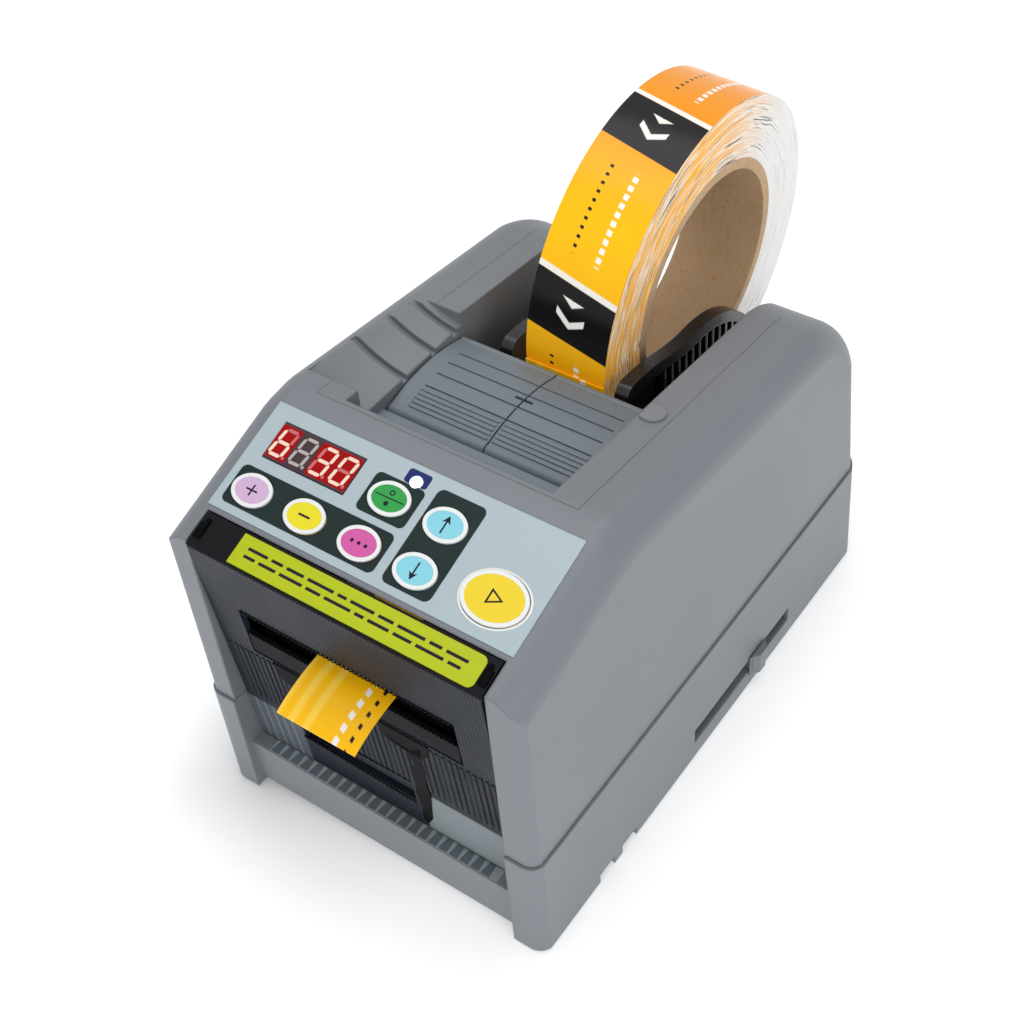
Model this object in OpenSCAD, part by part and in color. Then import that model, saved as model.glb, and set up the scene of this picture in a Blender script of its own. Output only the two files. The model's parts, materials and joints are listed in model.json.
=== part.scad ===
// Electric tape dispenser: a desk machine that feeds tape from a loose roll and cuts it to length.
// Millimetres, +Z up, +X to the right, the front faces -Y.
// The origin lies on the resting plane, below the middle of the whole object's box.

/* [Housing] */
// Width of the base
body_w = 140; // [134:1:150]
// Length of the base from front to back
body_l = 226; // [222:1:234]
// Height of the seam between base and upper housing
seam_z = 51; // [48:1:54]
// Wall thickness of both housings
wall = 2.5; // [2:0.1:3]
// Plan radius of the upright corners
corner_r = 6; // [5:0.5:8]
// How far the base stands proud of the upper housing
base_step = 0.8; // [0.4:0.1:1.2]
// Gap left open along the seam
seam_gap = 0.4; // [0.2:0.1:0.8]
// Radius of the shoulders along the wall tops
shoulder_r = 12; // [9:0.5:13]
// Forward lean of the base's rear face in degrees
base_lean = 4.8; // [3:0.1:6]
// Forward lean of the upper housing's rear face in degrees
rear_lean = 8.5; // [6:0.1:10]
// Width of the channel between the wall tops
channel_w = 80; // [78:1:84]
// Width of the window between the front pillars
window_w = 115; // [112:1:118]

/* [Roof] */
// Height of the panel plane at the front face
front_z = 131.7; // [130:0.1:136]
// Slope of the key panel in degrees
panel_slope = 18.9; // [18:0.1:21]
// Distance of the crest from the front face
crest_d = 58; // [56:1:60]
// Fall of the wall tops towards the rear in degrees
rear_slope = 6.3; // [5:0.1:7]
// Radius of the crest
crest_r = 30; // [20:1:40]
// Radius of the rear upper edge
rear_r = 45; // [38:1:48]
// Distance of the channel's front wall behind the crest
channel_d = 4.5; // [3:0.5:6]
// Radius of the finger ramp in the left wall
ramp_r = 45; // [40:1:50]
// Width of the finger ramp
ramp_w = 21; // [18:1:22]
// Length of the finger ramp
ramp_l = 54; // [50:1:56]
// Width of each arched slot in the finger ramp
ramp_slot_w = 2.6; // [2:0.1:3.4]
// Depth of each arched slot in the finger ramp
ramp_slot_d = 2; // [1:0.1:2.4]

/* [Base] */
// Thickness of the base floor
floor_t = 3; // [2.5:0.1:4]
// Height of the base floor above the resting plane
foot_h = 1.5; // [1:0.1:2.5]
// Radius of a rubber foot
foot_r = 6; // [5:0.5:7]
// Depth to which a foot is let into the floor
foot_seat = 1.5; // [1:0.1:2]
// Distance of the feet from the sides and ends
foot_inset = 18; // [16:1:24]
// Underside of the front sill
sill_low = 5; // [4.8:0.1:7]
// Top of the front sill
sill_top = 25; // [22:1:28]
// Distance of the front sill behind the front face
sill_in = 3; // [2:0.5:4]
// Thickness of the front sill
sill_t = 6; // [5:0.5:7]
// Length of the slot low on the right side
slot_l = 69; // [64:1:76]
// Height of that slot
slot_h = 7; // [6:0.5:9]
// Height of the middle of that slot
slot_z = 13; // [12:0.5:15]
// Distance of the slot's middle behind the base's middle
slot_y = 18; // [15:1:21]

/* [Panel] */
// Width of the panel overlay
label_w = 117.5; // [114:0.5:120]
// Depth of the panel overlay along the slope
label_h = 40.5; // [39.5:0.5:41]
// Thickness of the panel overlay
label_t = 0.4; // [0.3:0.1:0.6]
// Distance of the overlay from the front edge along the slope
label_d = 14.7; // [14.4:0.1:15.5]
// Half length of an oval key
key_a = 7.5; // [6.5:0.1:8]
// Half height of an oval key
key_b = 5.7; // [5:0.1:6.2]
// Half length of the start key
start_a = 11.1; // [10:0.1:12]
// Half height of the start key
start_b = 8.5; // [7.5:0.1:9.5]
// How far the keys stand above the overlay
key_rise = 0.7; // [0.5:0.1:1]
// Travel of a key
key_travel = 0.5; // [0.3:0.1:0.6]
// Gap around a key
key_gap = 0.3; // [0.2:0.05:0.4]
// Length of the display
display_w = 32.7; // [30:0.1:34]
// Height of the display
display_h = 13.4; // [12:0.1:14]
// Radius of the status lens
led_r = 2; // [1.5:0.1:2.4]

/* [Guard] */
// Length of the guard's strip along the panel slope
strip_d = 12.4; // [11.6:0.1:12.8]
// Thickness of the guard
guard_t = 2.2; // [1.8:0.1:2.6]
// Gap between the guard and the pillars
guard_gap = 0.6; // [0.4:0.1:1]
// Backward lean of the guard's plate towards its foot in degrees
guard_lean = 4.5; // [3:0.1:4.8]
// Length of the guard's plate below the panel's front edge
guard_l = 105.7; // [101:0.1:106]
// Width of the tape outlet
outlet_w = 86; // [80:1:90]
// Top of the tape outlet
outlet_top = 107; // [105:0.5:109]
// Bottom of the tape outlet
outlet_low = 84.5; // [83.5:0.5:85]
// Radius of the guard's hinge pins
guard_pin_r = 1.2; // [1:0.1:1.4]
// Length and width of the plate on the strip
plate_size = [88, 10.6]; // [8:0.1:90]

/* [Tape] */
// Width of the tape
tape_w = 31.6; // [24:0.1:36]
// Outer radius of the roll
roll_r = 66; // [60:0.5:68]
// Bore radius of the cardboard core
core_r = 40; // [38:0.1:42]
// Wall of the cardboard core
core_t = 4; // [3:0.5:5]
// Distance of the roll's axis in front of the base's rear edge
roll_back = 33.4; // [30:0.1:36]
// Height of the roll's axis
roll_z = 135.6; // [134:0.1:138]
// Lean of the loose roll in degrees
roll_lean = 3.6; // [0:0.1:4]
// Thickness of the web and the tape end
tape_t = 0.4; // [0.3:0.05:0.6]
// How far the tape end stands out of the front face
tail_out = 14.5; // [8:0.5:18]
// Height at which the tape leaves the rollers
tape_z = 97; // [96:0.1:98]

/* [Roll well] */
// Radius of a cradle roller
cradle_r = 6; // [5:0.5:7]
// Angle of the front cradle roller from below the roll's axis
cradle_front_a = 28; // [24:1:30]
// Angle of the rear cradle roller from below the roll's axis
cradle_rear_a = 9; // [6:1:10]
// Radius of the cradle shafts
shaft_r = 2; // [1.5:0.1:2.5]
// Radius of the guide rods
rod_r = 2.5; // [2:0.1:3]
// Thickness of a roll guide's plate
guide_t = 3; // [2.5:0.1:3.4]
// Height of the ribs on a roll guide
guide_rib = 2; // [1:0.1:2.4]
// Distance of a roll guide's inner face from the middle
guide_x = 20.8; // [20.6:0.1:21.5]
// Thickness of the well's walls
well_t = 2.4; // [2:0.1:2.6]

/* [Feed] */
// Radius of the drive tyres
tyre_r = 9; // [8:0.5:9.5]
// Radius of the pinch roller
pinch_r = 6; // [5:0.5:6.5]
// Radius of the turn roller
turn_r = 8; // [7:0.5:9]
// Radius of the steel shafts in the mechanism
axle_r = 3; // [2.5:0.1:3.5]
// Distance of the drive shaft behind the front face
drive_d = 48; // [46:1:50]
// Thickness of the mechanism plates
plate_t = 1.6; // [1.2:0.1:2]
// Gap between the mechanism plates and the cheeks of the channel
plate_gap = 1.5; // [1:0.1:2]
// Length of a drive tyre
tyre_l = 10; // [8:0.5:12]
// Distance from one drive tyre to the next
tyre_p = 18; // [14:0.5:20]
// Gear module
gear_m = 1; // [1:0.1:1]
// Teeth on the drive gear
drive_teeth = 36; // [36:1:36]
// Teeth on the motor pinion
pinion_teeth = 14; // [14:1:14]
// Thickness of the gears
gear_t = 4; // [3:0.5:5]
// Radius of the feed motor
feed_motor_r = 14; // [12:0.5:14.5]
// Length of the feed motor
feed_motor_l = 34; // [28:1:38]

/* [Cutter] */
// Thickness of the blades
blade_t = 0.8; // [0.6:0.1:1]
// Stroke of the moving blade
blade_travel = 8; // [6:0.5:8]
// Distance of the cutting plane behind the front face
cut_d = 11.2; // [11:0.1:11.6]
// Distance of the blades' ends from the mechanism plates
blade_gap = 4; // [3:0.5:6]
// Pitch of the blade's teeth
tooth_p = 2; // [1.5:0.1:2.5]
// Teeth on the cutter pinion
cutter_teeth = 12; // [12:1:12]
// Radius of the cutter motor
cutter_motor_r = 9.5; // [8:0.5:10]
// Radius of the blade's guide posts
post_r = 2; // [1.5:0.1:2.5]

/* [Cover] */
// Thickness of the feed cover
cover_t = 2.2; // [2:0.1:2.6]
// Radius of the cover's arch
cover_r = 62; // [56:1:70]
// Height of the cover's highest line
cover_z = 138.2; // [137:0.1:139]
// Distance of the highest line in front of the roll
cover_back = 25.6; // [24:0.1:27]
// Length of the ridged plate in front of the cover
feed_l = 15.7; // [14:0.1:17]
// Distance from the highest line to the cover's rear lip
cover_rear = 20.5; // [19:0.5:21]
// Radius of the cover's pin
cover_pin_r = 1.5; // [1.2:0.1:1.8]
// Gap at the ends of the cover and its pin
cover_gap = 0.8; // [0.6:0.1:1.2]
// Number of fine ridges along the cover's front
cover_ribs = 5; // [3:1:6]
// Length of a plank of the cover
plank_l = 6.5; // [5:0.5:7]

/* [Rear] */
// Width and height of the rocker switch's bezel
rocker_size = [15, 21]; // [12:0.5:24]
// Radius of the power inlet's body
inlet_r = 6; // [5:0.5:7]
// Bore radius of the power inlet
inlet_bore = 2.9; // [2.5:0.1:3.2]
// Distance of inlet and switch from the middle
rear_x = 42; // [38:1:46]
// Height of inlet and switch
rear_z = 27; // [25:1:30]
// Radius of the base screws' heads
screw_r = 3.4; // [3:0.1:4]

/* [Hidden] */
$fn = 64;

grey = [0.56, 0.58, 0.60];
dark = [0.10, 0.10, 0.11];
steel = [0.72, 0.73, 0.75];

// Radial clearance of a running fit
run_fit = 0.05;
// Clearance between pieces that pass or face each other
clear = 0.4;
// Length by which a cutter passes the face that it cuts
past = 1;

front_y = -body_l / 2;
rear_y = body_l / 2;
up_w = body_w - 2 * base_step;
up_corner = corner_r - base_step;
roof_top = 170;
crest_y = front_y + crest_d;
crest_z = front_z + crest_d * tan(panel_slope);
turn_a = panel_slope + rear_slope;
crest_c = [crest_y + crest_r * (cos(rear_slope) - cos(panel_slope)) / sin(turn_a),
           crest_z - crest_r * (sin(panel_slope) + sin(rear_slope)) / sin(turn_a)];
// Set-out that lets round and flat faces of the housing cross
set_out = 0.3;
shoulder_out = 0.06;
rear_corner = shoulder_r + 0.5;
// Foot of the upper housing's leaning rear face, and its place at a height
up_rear = rear_y - (seam_z - foot_h) * tan(base_lean) - base_step;
function up_rear_at(z) = up_rear - (z - seam_z) * tan(rear_lean);
// Centre of the rear rounding, equally far below the roof and in front of the leaning face
face_d = up_rear * cos(rear_lean) + seam_z * sin(rear_lean) - rear_r + set_out;
roof_d = crest_y * sin(rear_slope) + crest_z * cos(rear_slope) - rear_r + set_out;
rear_c = [face_d * cos(rear_slope) - roof_d * sin(rear_lean),
          roof_d * cos(rear_lean) - face_d * sin(rear_slope)] / cos(rear_lean + rear_slope);
channel_y = crest_y + channel_d;
strip_y = front_y + (strip_d + guard_gap) * cos(panel_slope);
tail_y = front_y - tail_out;
roll_y = rear_y - roll_back;
mid_y = (roll_y + roll_r + tail_y) / 2;
floor_top = foot_h + floor_t;
plate_x = channel_w / 2 + wall + plate_gap;
blade_x = plate_x - blade_gap;

cut_y = front_y + cut_d;
drive_y = front_y + drive_d;
drive_z = tape_z - tape_t / 2 - clear / 2 - tyre_r;
pinch_z = tape_z + tape_t / 2 + clear / 2 + pinch_r;
web_y = roll_y - roll_r - tape_t / 2 - clear;
turn_y = web_y - tape_t / 2 - clear / 2 - turn_r;
turn_z = tape_z + tape_t / 2 + clear / 2 + turn_r;
gear_gap = gear_m * (drive_teeth + pinion_teeth) / 2;
gear_dir = -50;
motor_y = drive_y + gear_gap * cos(gear_dir);
motor_z = drive_z + gear_gap * sin(gear_dir);
lean_drop = tape_w / 2 * sin(roll_lean);
cradle_dist = roll_r + cradle_r + lean_drop + clear;
cradle_front = [roll_y - cradle_dist * sin(cradle_front_a), roll_z - cradle_dist * cos(cradle_front_a)];
cradle_rear = [roll_y + cradle_dist * sin(cradle_rear_a), roll_z - cradle_dist * cos(cradle_rear_a)];
well_low = cradle_rear[1] - cradle_r - 9;
well_split = rear_c[1];
well_front = turn_y + turn_r + 5.5;
function well_rear_at(z) = up_rear_at(z) - (wall + clear) / cos(rear_lean);
well_rear = well_rear_at(well_split);
cheek_low = turn_z + turn_r + past;
rods = [[cradle_front[0] - 12, well_low + 9], [cradle_rear[0] - 16, well_low + 6]];
carrier_y = cut_y + blade_t;
carrier_t = 6;
carrier_low = tape_z + blade_travel + 1;
carrier_h = 16;
rack_y = carrier_y + carrier_t + gear_m;
cutter_y = rack_y + gear_m * cutter_teeth / 2;
cutter_z = carrier_low + carrier_h / 2;
// Depth of the guard's pins below its strip
pin_drop = 2.2;
pin_y = front_y + strip_d * cos(panel_slope) / 2;
pin_z = front_z + (pin_y - front_y) * tan(panel_slope) - guard_t - pin_drop;
// Length of the guard's plate that leaves its foot clear of the sill, and the rear of that foot
plate_l = min(guard_l, (front_z - sill_top - past) / cos(guard_lean));
guard_rear = front_y + plate_l * sin(guard_lean) + guard_t * cos(guard_lean);
sill_y = front_y + sill_in;
comb_y = max(sill_y + sill_t + clear, guard_rear + 2 * clear);
strip_swing = norm([strip_d * cos(panel_slope) + front_y - pin_y, strip_d * sin(panel_slope) + front_z - pin_z]);
// Wall of the cover's hinge barrel and the gap in front of it
barrel_t = 1.4;
barrel_gap = 0.9;
cover_y = roll_y - roll_r - cover_back;
cover_hinge_y = channel_y + feed_l + barrel_gap + barrel_t + cover_pin_r;
cover_front = cover_y - cover_hinge_y;
cover_edge_z = cover_z - cover_r + sqrt(pow(cover_r, 2) - pow(cover_front, 2));
cover_hinge_z = cover_edge_z - cover_pin_r - barrel_t + 0.2;
plate_rear = turn_y + axle_r + 8;
plate_front = cut_y + 3;
plate_top = turn_z + axle_r + 8;

// Places on the panel overlay, from its lower left corner
col = [11.5, 33, 54.6, 75.9];
row_low = 9.7;
row_high = 26.4;
start_place = [102.8, 12.9];
led_place = [59, 34.8];
display_place = [6.8, 21.4];

// Puts a piece drawn about the base's middle into the object's frame
module seated() translate([0, -mid_y, 0]) children();

// Moves to a point of the side view
module at(y, z) translate([0, y, z]) children();

// Bar along X between two places
module bar(x0, x1, r) translate([x0, 0, 0]) rotate([0, 90, 0]) cylinder(h = x1 - x0, r = r);

// Box between two corners
module span(a, b) translate(a) cube(b - a);

// Plate across X from a side view drawn in (y, z)
module across(x0, x1) translate([x0, 0, 0]) rotate([90, 0, 90]) linear_extrude(x1 - x0) children();

// Frame of the panel: origin at the overlay's lower left corner, Y up the slope, Z out of it
module on_panel() {
    translate([-label_w / 2, front_y, front_z]) rotate([panel_slope, 0, 0])
        translate([0, label_d, 0]) children();
}

// Rectangle with round corners about the origin
module round_rect(w, l, r) {
    square([w, l - 2 * r], center = true);
    square([w - 2 * r, l], center = true);
    for (sx = [-1, 1], sy = [-1, 1]) translate([sx * (w / 2 - r), sy * (l / 2 - r)]) circle(r);
}

// Oval outline
module oval(a, b) polygon([for (i = [0:39]) [a * cos(i * 9), b * sin(i * 9)]]);

// Section of the housing: flat top at 0 with round shoulders, open depth below
module section(o, depth, more) {
    w = up_w - 2 * o;
    r = shoulder_r - o + more;
    c = r - shoulder_out;
    intersection() {
        translate([-w / 2, -depth]) square([w, depth]);
        union() {
            translate([-w / 2 - past, -depth - past]) square([w + 2 * past, depth + past - c]);
            translate([c - w / 2, -depth - past]) square([w - 2 * c, depth + 2 * past]);
            for (s = [-1, 1]) translate([s * (w / 2 - c), -c]) circle(r);
        }
    }
}

// Growth of the shoulder radius over the crest
crest_more = 1;

// Length of the housing along one slope, tangent to the crest
module slope(o, a, more) at(crest_c[0], crest_c[1]) rotate([a, 0, 0]) translate([0, roof_top, crest_r - o])
    rotate([90, 0, 0]) linear_extrude(2 * roof_top) section(o, roof_top, more);

// Upright prism with round front corners, open to the rear
module front_prism(w, y, r) translate([0, y + body_l, 0]) linear_extrude(roof_top) round_rect(w, 2 * body_l, r);

// Prism with round rear corners that leans forward from a point of the side view, open to the front
module rear_prism(w, y, z, lean, o, r) at(y, z) rotate([lean, 0, 0]) translate([0, -o - body_l, -roof_top])
    linear_extrude(2 * roof_top) round_rect(w, 2 * body_l, r);

// Rear of the housing: the shoulders turn down with the rounding at the upper rear edge
module rear_turn(o) {
    r = rear_r - o;
    f = shoulder_r - o;
    w = up_w + 2 * set_out - 2 * o;
    far = 2 * body_l;
    across(-body_w, body_w) {
        translate(rear_c) rotate(-rear_slope) translate([-far, -far]) square([far, 2 * far]);
        translate(rear_c) rotate(rear_lean) translate([-far, -far]) square([2 * far, far]);
    }
    at(rear_c[0], rear_c[1]) rotate([0, 90, 0]) rotate_extrude() {
        translate([0, f - w / 2]) square([r, w - 2 * f]);
        translate([0, -w / 2]) square([r - f, w]);
        for (s = [-1, 1]) translate([r - f, s * (w / 2 - f)]) circle(f);
    }
}

// Solid form of the upper housing, drawn in by o
module form(o) intersection() {
    slope(o, panel_slope, 0);
    slope(o, panel_slope - turn_a / 4, crest_more / 2);
    slope(o, panel_slope - turn_a / 2, crest_more);
    slope(o, turn_a / 4 - rear_slope, crest_more / 2);
    slope(o, -rear_slope, 0);
    front_prism(up_w + 2 * set_out - 2 * o, front_y + base_step + o, up_corner - o);
    rear_prism(up_w + 2 * set_out - 2 * o, up_rear, seam_z, rear_lean, o, rear_corner - o);
    rear_turn(o);
}

// Place of the finger ramp's centre line
ramp_x = -channel_w / 2;
ramp_mid = channel_y + ramp_l / 2 + 6;
ramp_low = crest_z - 13;

// Round trough that the finger ramp is cut with
module ramp_cut(deeper, y0, y1) {
    intersection() {
        translate([ramp_x + 8, y0, ramp_low + ramp_r]) rotate([-90, 0, 0])
            cylinder(h = y1 - y0, r = ramp_r + deeper);
        span([ramp_x - ramp_w, y0, ramp_low - 9], [ramp_x + past, y1, roof_top]);
    }
}

// Block under the finger ramp, which closes the wall below the cut
module ramp_floor() {
    intersection() {
        form(wall / 2);
        difference() {
            span([ramp_x - ramp_w - wall, ramp_mid - ramp_l / 2 - wall, ramp_low - 5],
                 [ramp_x, ramp_mid + ramp_l / 2 + wall, roof_top]);
            translate([ramp_x + 8, ramp_mid - ramp_l / 2, ramp_low + ramp_r]) rotate([-90, 0, 0])
                cylinder(h = ramp_l, r = ramp_r);
        }
    }
}

module upper_housing() color(grey) seated() {
    low = seam_z + seam_gap;
    half = channel_w / 2;
    difference() {
        union() {
            difference() {
                form(0);
                form(wall);
            }
            // Inner cheeks of the channel and the channel's front wall
            intersection() {
                form(wall / 2);
                union() {
                    for (s = [-1, 1]) {
                        span([s * (half + wall / 2) - wall / 2, channel_y, cheek_low],
                             [s * (half + wall / 2) + wall / 2, rear_y, roof_top]);
                        span([s * (half + wall / 2) - wall / 2, well_front, well_split + clear],
                             [s * (half + wall / 2) + wall / 2, rear_y, roof_top]);
                    }
                    span([-half - wall, channel_y - wall, crest_z - 24], [half + wall, channel_y, roof_top]);
                }
            }
            // Inner faces of the front pillars
            for (s = [-1, 1]) intersection() {
                form(0);
                span([s * (window_w / 2 + wall / 2) - wall / 2, front_y, low],
                     [s * (window_w / 2 + wall / 2) + wall / 2, strip_y + wall, roof_top]);
            }
            ramp_floor();
        }
        span([-body_w, front_y - past, -past], [body_w, rear_y + past, low]);
        // Window between the pillars
        span([-window_w / 2, front_y - past, 0], [window_w / 2, strip_y, roof_top]);
        // Channel over the feed and well for the roll
        span([-half, channel_y, well_low + 14], [half, rear_y + past, roof_top]);
        // Finger ramp with its arched slots
        ramp_cut(0, ramp_mid - ramp_l / 2, ramp_mid + ramp_l / 2);
        for (y = [channel_y + 27, channel_y + 43, channel_y + 55]) ramp_cut(ramp_slot_d, y, y + ramp_slot_w);
        // Holes for the cover's pin and the guard's pins
        at(cover_hinge_y, cover_hinge_z) bar(-half - wall - past, half + wall + past, cover_pin_r + run_fit);
        at(pin_y, pin_z) bar(-window_w / 2 - wall - clear, window_w / 2 + wall + clear, guard_pin_r + run_fit);
        at(pin_y, pin_z) bar(-window_w / 2, window_w / 2, strip_swing + clear);
        // Holes for keys, display and lens in the panel
        on_panel() translate([0, 0, -2 * wall]) linear_extrude(3 * wall) panel_holes(key_gap);
    }
}

// Outlines of everything that passes the panel
module panel_holes(gap) {
    for (i = [0:2]) translate([col[i], row_low]) oval(key_a + gap, key_b + gap);
    translate([col[2], row_high]) oval(key_a + gap, key_b + gap);
    for (v = [row_low, row_high]) translate([col[3], v]) oval(key_a + gap, key_b + gap);
    translate(start_place) oval(start_a + gap, start_b + gap);
    translate(led_place) circle(led_r + gap);
    translate(display_place - [gap, gap]) square([display_w + 2 * gap, display_h + 2 * gap]);
}

// Places of the feet, and of the screws beside the walls
foot_x = body_w / 2 - foot_inset;
foot_y = body_l / 2 - foot_inset;
boss_r = 5;
screw_step = 14;
screw_x = body_w / 2 - wall - boss_r - past;

module at_feet() for (sx = [-1, 1], sy = [-1, 1]) translate([sx * foot_x, sy * foot_y, 0]) children();
module at_screws() for (sx = [-1, 1], sy = [-1, 1])
    translate([sx * screw_x, sy * (foot_y - screw_step), 0]) children();

screw_head = 2;
screw_shank = 1.6;
notch_l = 9;
notch_h = 4;
notch_places = [34, 48];
front_open = window_w / 2;

// Solid form of the base between two heights, drawn in by o
module base_form(o, low, high) intersection() {
    span([o - body_w / 2, front_y - past, low], [body_w / 2 - o, rear_y + past, high]);
    front_prism(body_w + 2 * set_out - 2 * o, front_y + o, corner_r - o);
    rear_prism(body_w + 2 * set_out - 2 * o, rear_y, foot_h, base_lean, o, rear_corner + base_step - o);
}

// Frame on the base's leaning rear face, at the height of inlet and switch
module on_rear() at(rear_y, foot_h) rotate([base_lean, 0, 0]) translate([0, 0, rear_z - foot_h]) children();

module lower_base() color(grey) seated() difference() {
    union() {
        difference() {
            base_form(0, foot_h, seam_z);
            base_form(wall, floor_top, seam_z + past);
            // Window between the pillars, open below the sill
            span([-front_open, front_y - past, 0], [front_open, comb_y - clear / 2, seam_z + past]);
        }
        // Inner faces of the pillars
        for (s = [-1, 1]) intersection() {
            base_form(0, 0, seam_z + past);
            span([s * (front_open + wall / 2) - wall / 2, front_y, foot_h],
                 [s * (front_open + wall / 2) + wall / 2, comb_y - clear / 2 + wall, seam_z]);
        }
        span([-front_open - wall, sill_y, sill_low], [front_open + wall, sill_y + sill_t, sill_top]);
        at_screws() cylinder(h = 14, r = boss_r);
        // Rail that carries the block in the side slot
        span([body_w / 2 - wall - 5, slot_y - slot_l / 2 - 3, floor_top],
             [body_w / 2 - wall / 2, slot_y + slot_l / 2 + 3, slot_z - slot_h / 2]);
    }
    at_feet() cylinder(h = foot_h + foot_seat, r = foot_r + run_fit);
    at_screws() {
        cylinder(h = foot_h + screw_head + clear, r = screw_r + clear / 2);
        cylinder(h = 20, r = screw_shank);
    }
    at_screws() translate([0, 0, -past]) cylinder(h = foot_h + past, r = boss_r + past);
    // Slot low on the right side
    span([body_w / 2 - 2 * wall, slot_y - slot_l / 2, slot_z - slot_h / 2],
         [body_w / 2 + past, slot_y + slot_l / 2, slot_z + slot_h / 2]);
    // Small notches in the lower edge
    for (d = notch_places, s = [-1, 1])
        span([s * (body_w / 2 - wall / 2) - wall, front_y + d, foot_h - past],
             [s * (body_w / 2 - wall / 2) + wall, front_y + d + notch_l, foot_h + notch_h]);
    // Openings for the inlet and the switch
    on_rear() translate([0, -wall - past, 0]) {
        translate([-rear_x, 0, 0]) rotate([-90, 0, 0]) cylinder(h = wall + 2 * past, r = inlet_r + run_fit);
        translate([rear_x - rocker_size[0] / 2, 0, -rocker_size[1] / 2])
            cube([rocker_size[0], wall + 2 * past, rocker_size[1]]);
    }
}

module rubber_feet() color(dark) seated() at_feet() cylinder(h = foot_h + foot_seat, r = foot_r);

module base_screws() color(steel) seated() at_screws() difference() {
    union() {
        at(0, foot_h + clear) cylinder(h = screw_head, r = screw_r);
        at(0, foot_h + clear) cylinder(h = 10, r = screw_shank - run_fit);
    }
    for (a = [0, 90]) rotate(a) translate([-2, -0.4, foot_h]) cube([4, 0.8, 1 + clear]);
}

module panel_label() color([0.70, 0.78, 0.79]) seated() on_panel() linear_extrude(label_t) difference() {
    square([label_w, label_h]);
    panel_holes(key_gap);
}

// Level of the key board below the panel
board_t = 1.6;
board_level = -wall - 6;

module display_module() color([0.25, 0.05, 0.05]) seated() on_panel()
    translate([display_place[0], display_place[1], board_level + board_t])
        cube([display_w, display_h, label_t + 0.2 - board_level - board_t]);

module status_lens() color([0.75, 0.85, 1]) seated() on_panel()
    translate([led_place[0], led_place[1], board_level + board_t]) {
        cylinder(h = label_t + 0.5 - board_level - board_t, r = led_r);
        cylinder(h = 2, r = led_r + 0.5);
    }

// Posts that hang the key board from the panel
post_places = [[22.3, 18.7], [43.2, 30], [95, 32], [110, 32]];

module key_board() color([0.1, 0.35, 0.2]) seated() on_panel() {
    translate([3, 2, board_level]) cube([label_w - 6, label_h - 4, board_t]);
    // Tactile switches below the keys
    for (place = concat([for (i = [0:2]) [col[i], row_low]], [[col[2], row_high], [col[3], row_low],
            [col[3], row_high], start_place]))
        translate([place[0] - 3, place[1] - 3, board_level + board_t]) cube([6, 6, key_under]);
    for (place = post_places) translate([place[0], place[1], board_level])
        cylinder(h = -wall - board_level, r = 1.5);
}

// Height of a switch body above the board, and the gap that a key closes
key_under = 2.6;
key_foot = board_level + board_t + key_under + key_travel + 0.3;

// Key: an oval cap with a lip below the panel
module key(place, a, b, tint) color(tint) seated() on_panel() translate([place[0], place[1], key_foot]) {
    linear_extrude(label_t + key_rise - key_foot) oval(a, b);
    linear_extrude(-wall - key_foot - clear) oval(a + 1, b + 1);
}

module key_plus() key([col[0], row_low], key_a, key_b, [0.85, 0.72, 0.86]);
module key_minus() key([col[1], row_low], key_a, key_b, [0.98, 0.9, 0.1]);
module key_select() key([col[2], row_low], key_a, key_b, [0.88, 0.35, 0.68]);
module key_mode() key([col[2], row_high], key_a, key_b, [0.15, 0.6, 0.2]);
module key_up() key([col[3], row_high], key_a, key_b, [0.52, 0.85, 0.9]);
module key_down() key([col[3], row_low], key_a, key_b, [0.52, 0.85, 0.9]);
module key_start() key(start_place, start_a, start_b, [0.98, 0.85, 0.1]);

// Zigzag edge between two places, in (x, z)
function zigzag(x0, x1, z, p, h) = [for (i = [0:round((x1 - x0) / p) * 2]) [x0 + i * p / 2, z + (i % 2) * h]];

// Cut-out of the guard's plate: its ends, and its edges as heights along the plate
cut_x = [-32, 16];
cut_low = 41;
cut_top = 51.5;

// Frame of the guard's leaning plate: origin at the panel's front edge, Z up the plate
module on_guard() at(front_y, front_z) rotate([guard_lean, 0, 0]) children();

rib_p = 2.4;
rib_w = 1.2;
rib_h = 0.3;

module front_guard() color([0.16, 0.17, 0.19]) seated() {
    half = window_w / 2 - guard_gap;
    difference() {
        union() {
            translate([0, front_y, front_z]) rotate([panel_slope, 0, 0])
                span([-half, 0, -guard_t], [half, strip_d, 0]);
            on_guard() span([0.2 - half, 0, -plate_l], [half - 0.2, guard_t, -0.8]);
            // Fine ribs on the plate below the outlet
            on_guard() for (x = [2 - half : rib_p : half - 2 - rib_w])
                span([x, -rib_h, cut_top - front_z + 2], [x + rib_w, 0.1, outlet_low - front_z - 2]);
            // Ears that hold the pins below the strip
            for (s = [-1, 1])
                at(pin_y, pin_z) bar(s * (half - 1.5) - 1.5, s * (half - 1.5) + 1.5, guard_pin_r + 1.2);
            for (s = [-1, 1])
                at(pin_y, pin_z) bar(s * (half + wall / 2) - wall / 2 - guard_gap / 2,
                                     s * (half + wall / 2) + wall / 2 + guard_gap / 2, guard_pin_r);
        }
        on_guard() {
            span([-outlet_w / 2, -past, outlet_low - front_z], [outlet_w / 2, guard_t + past, outlet_top - front_z]);
            // Cut-out below the outlet with a toothed upper edge
            translate([0, guard_t + past, -front_z]) rotate([90, 0, 0]) linear_extrude(guard_t + 2 * past)
                polygon(concat([[cut_x[1], cut_low], [cut_x[0], cut_low]],
                               zigzag(cut_x[0], cut_x[1], cut_top, 2.4, 0.8)));
        }
    }
}

module guard_plate() color([0.72, 0.8, 0.14]) seated()
    translate([0, front_y, front_z]) rotate([panel_slope, 0, 0])
        translate([6, strip_d / 2, 0]) linear_extrude(0.5) round_rect(plate_size[0], plate_size[1], 1.5);

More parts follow.
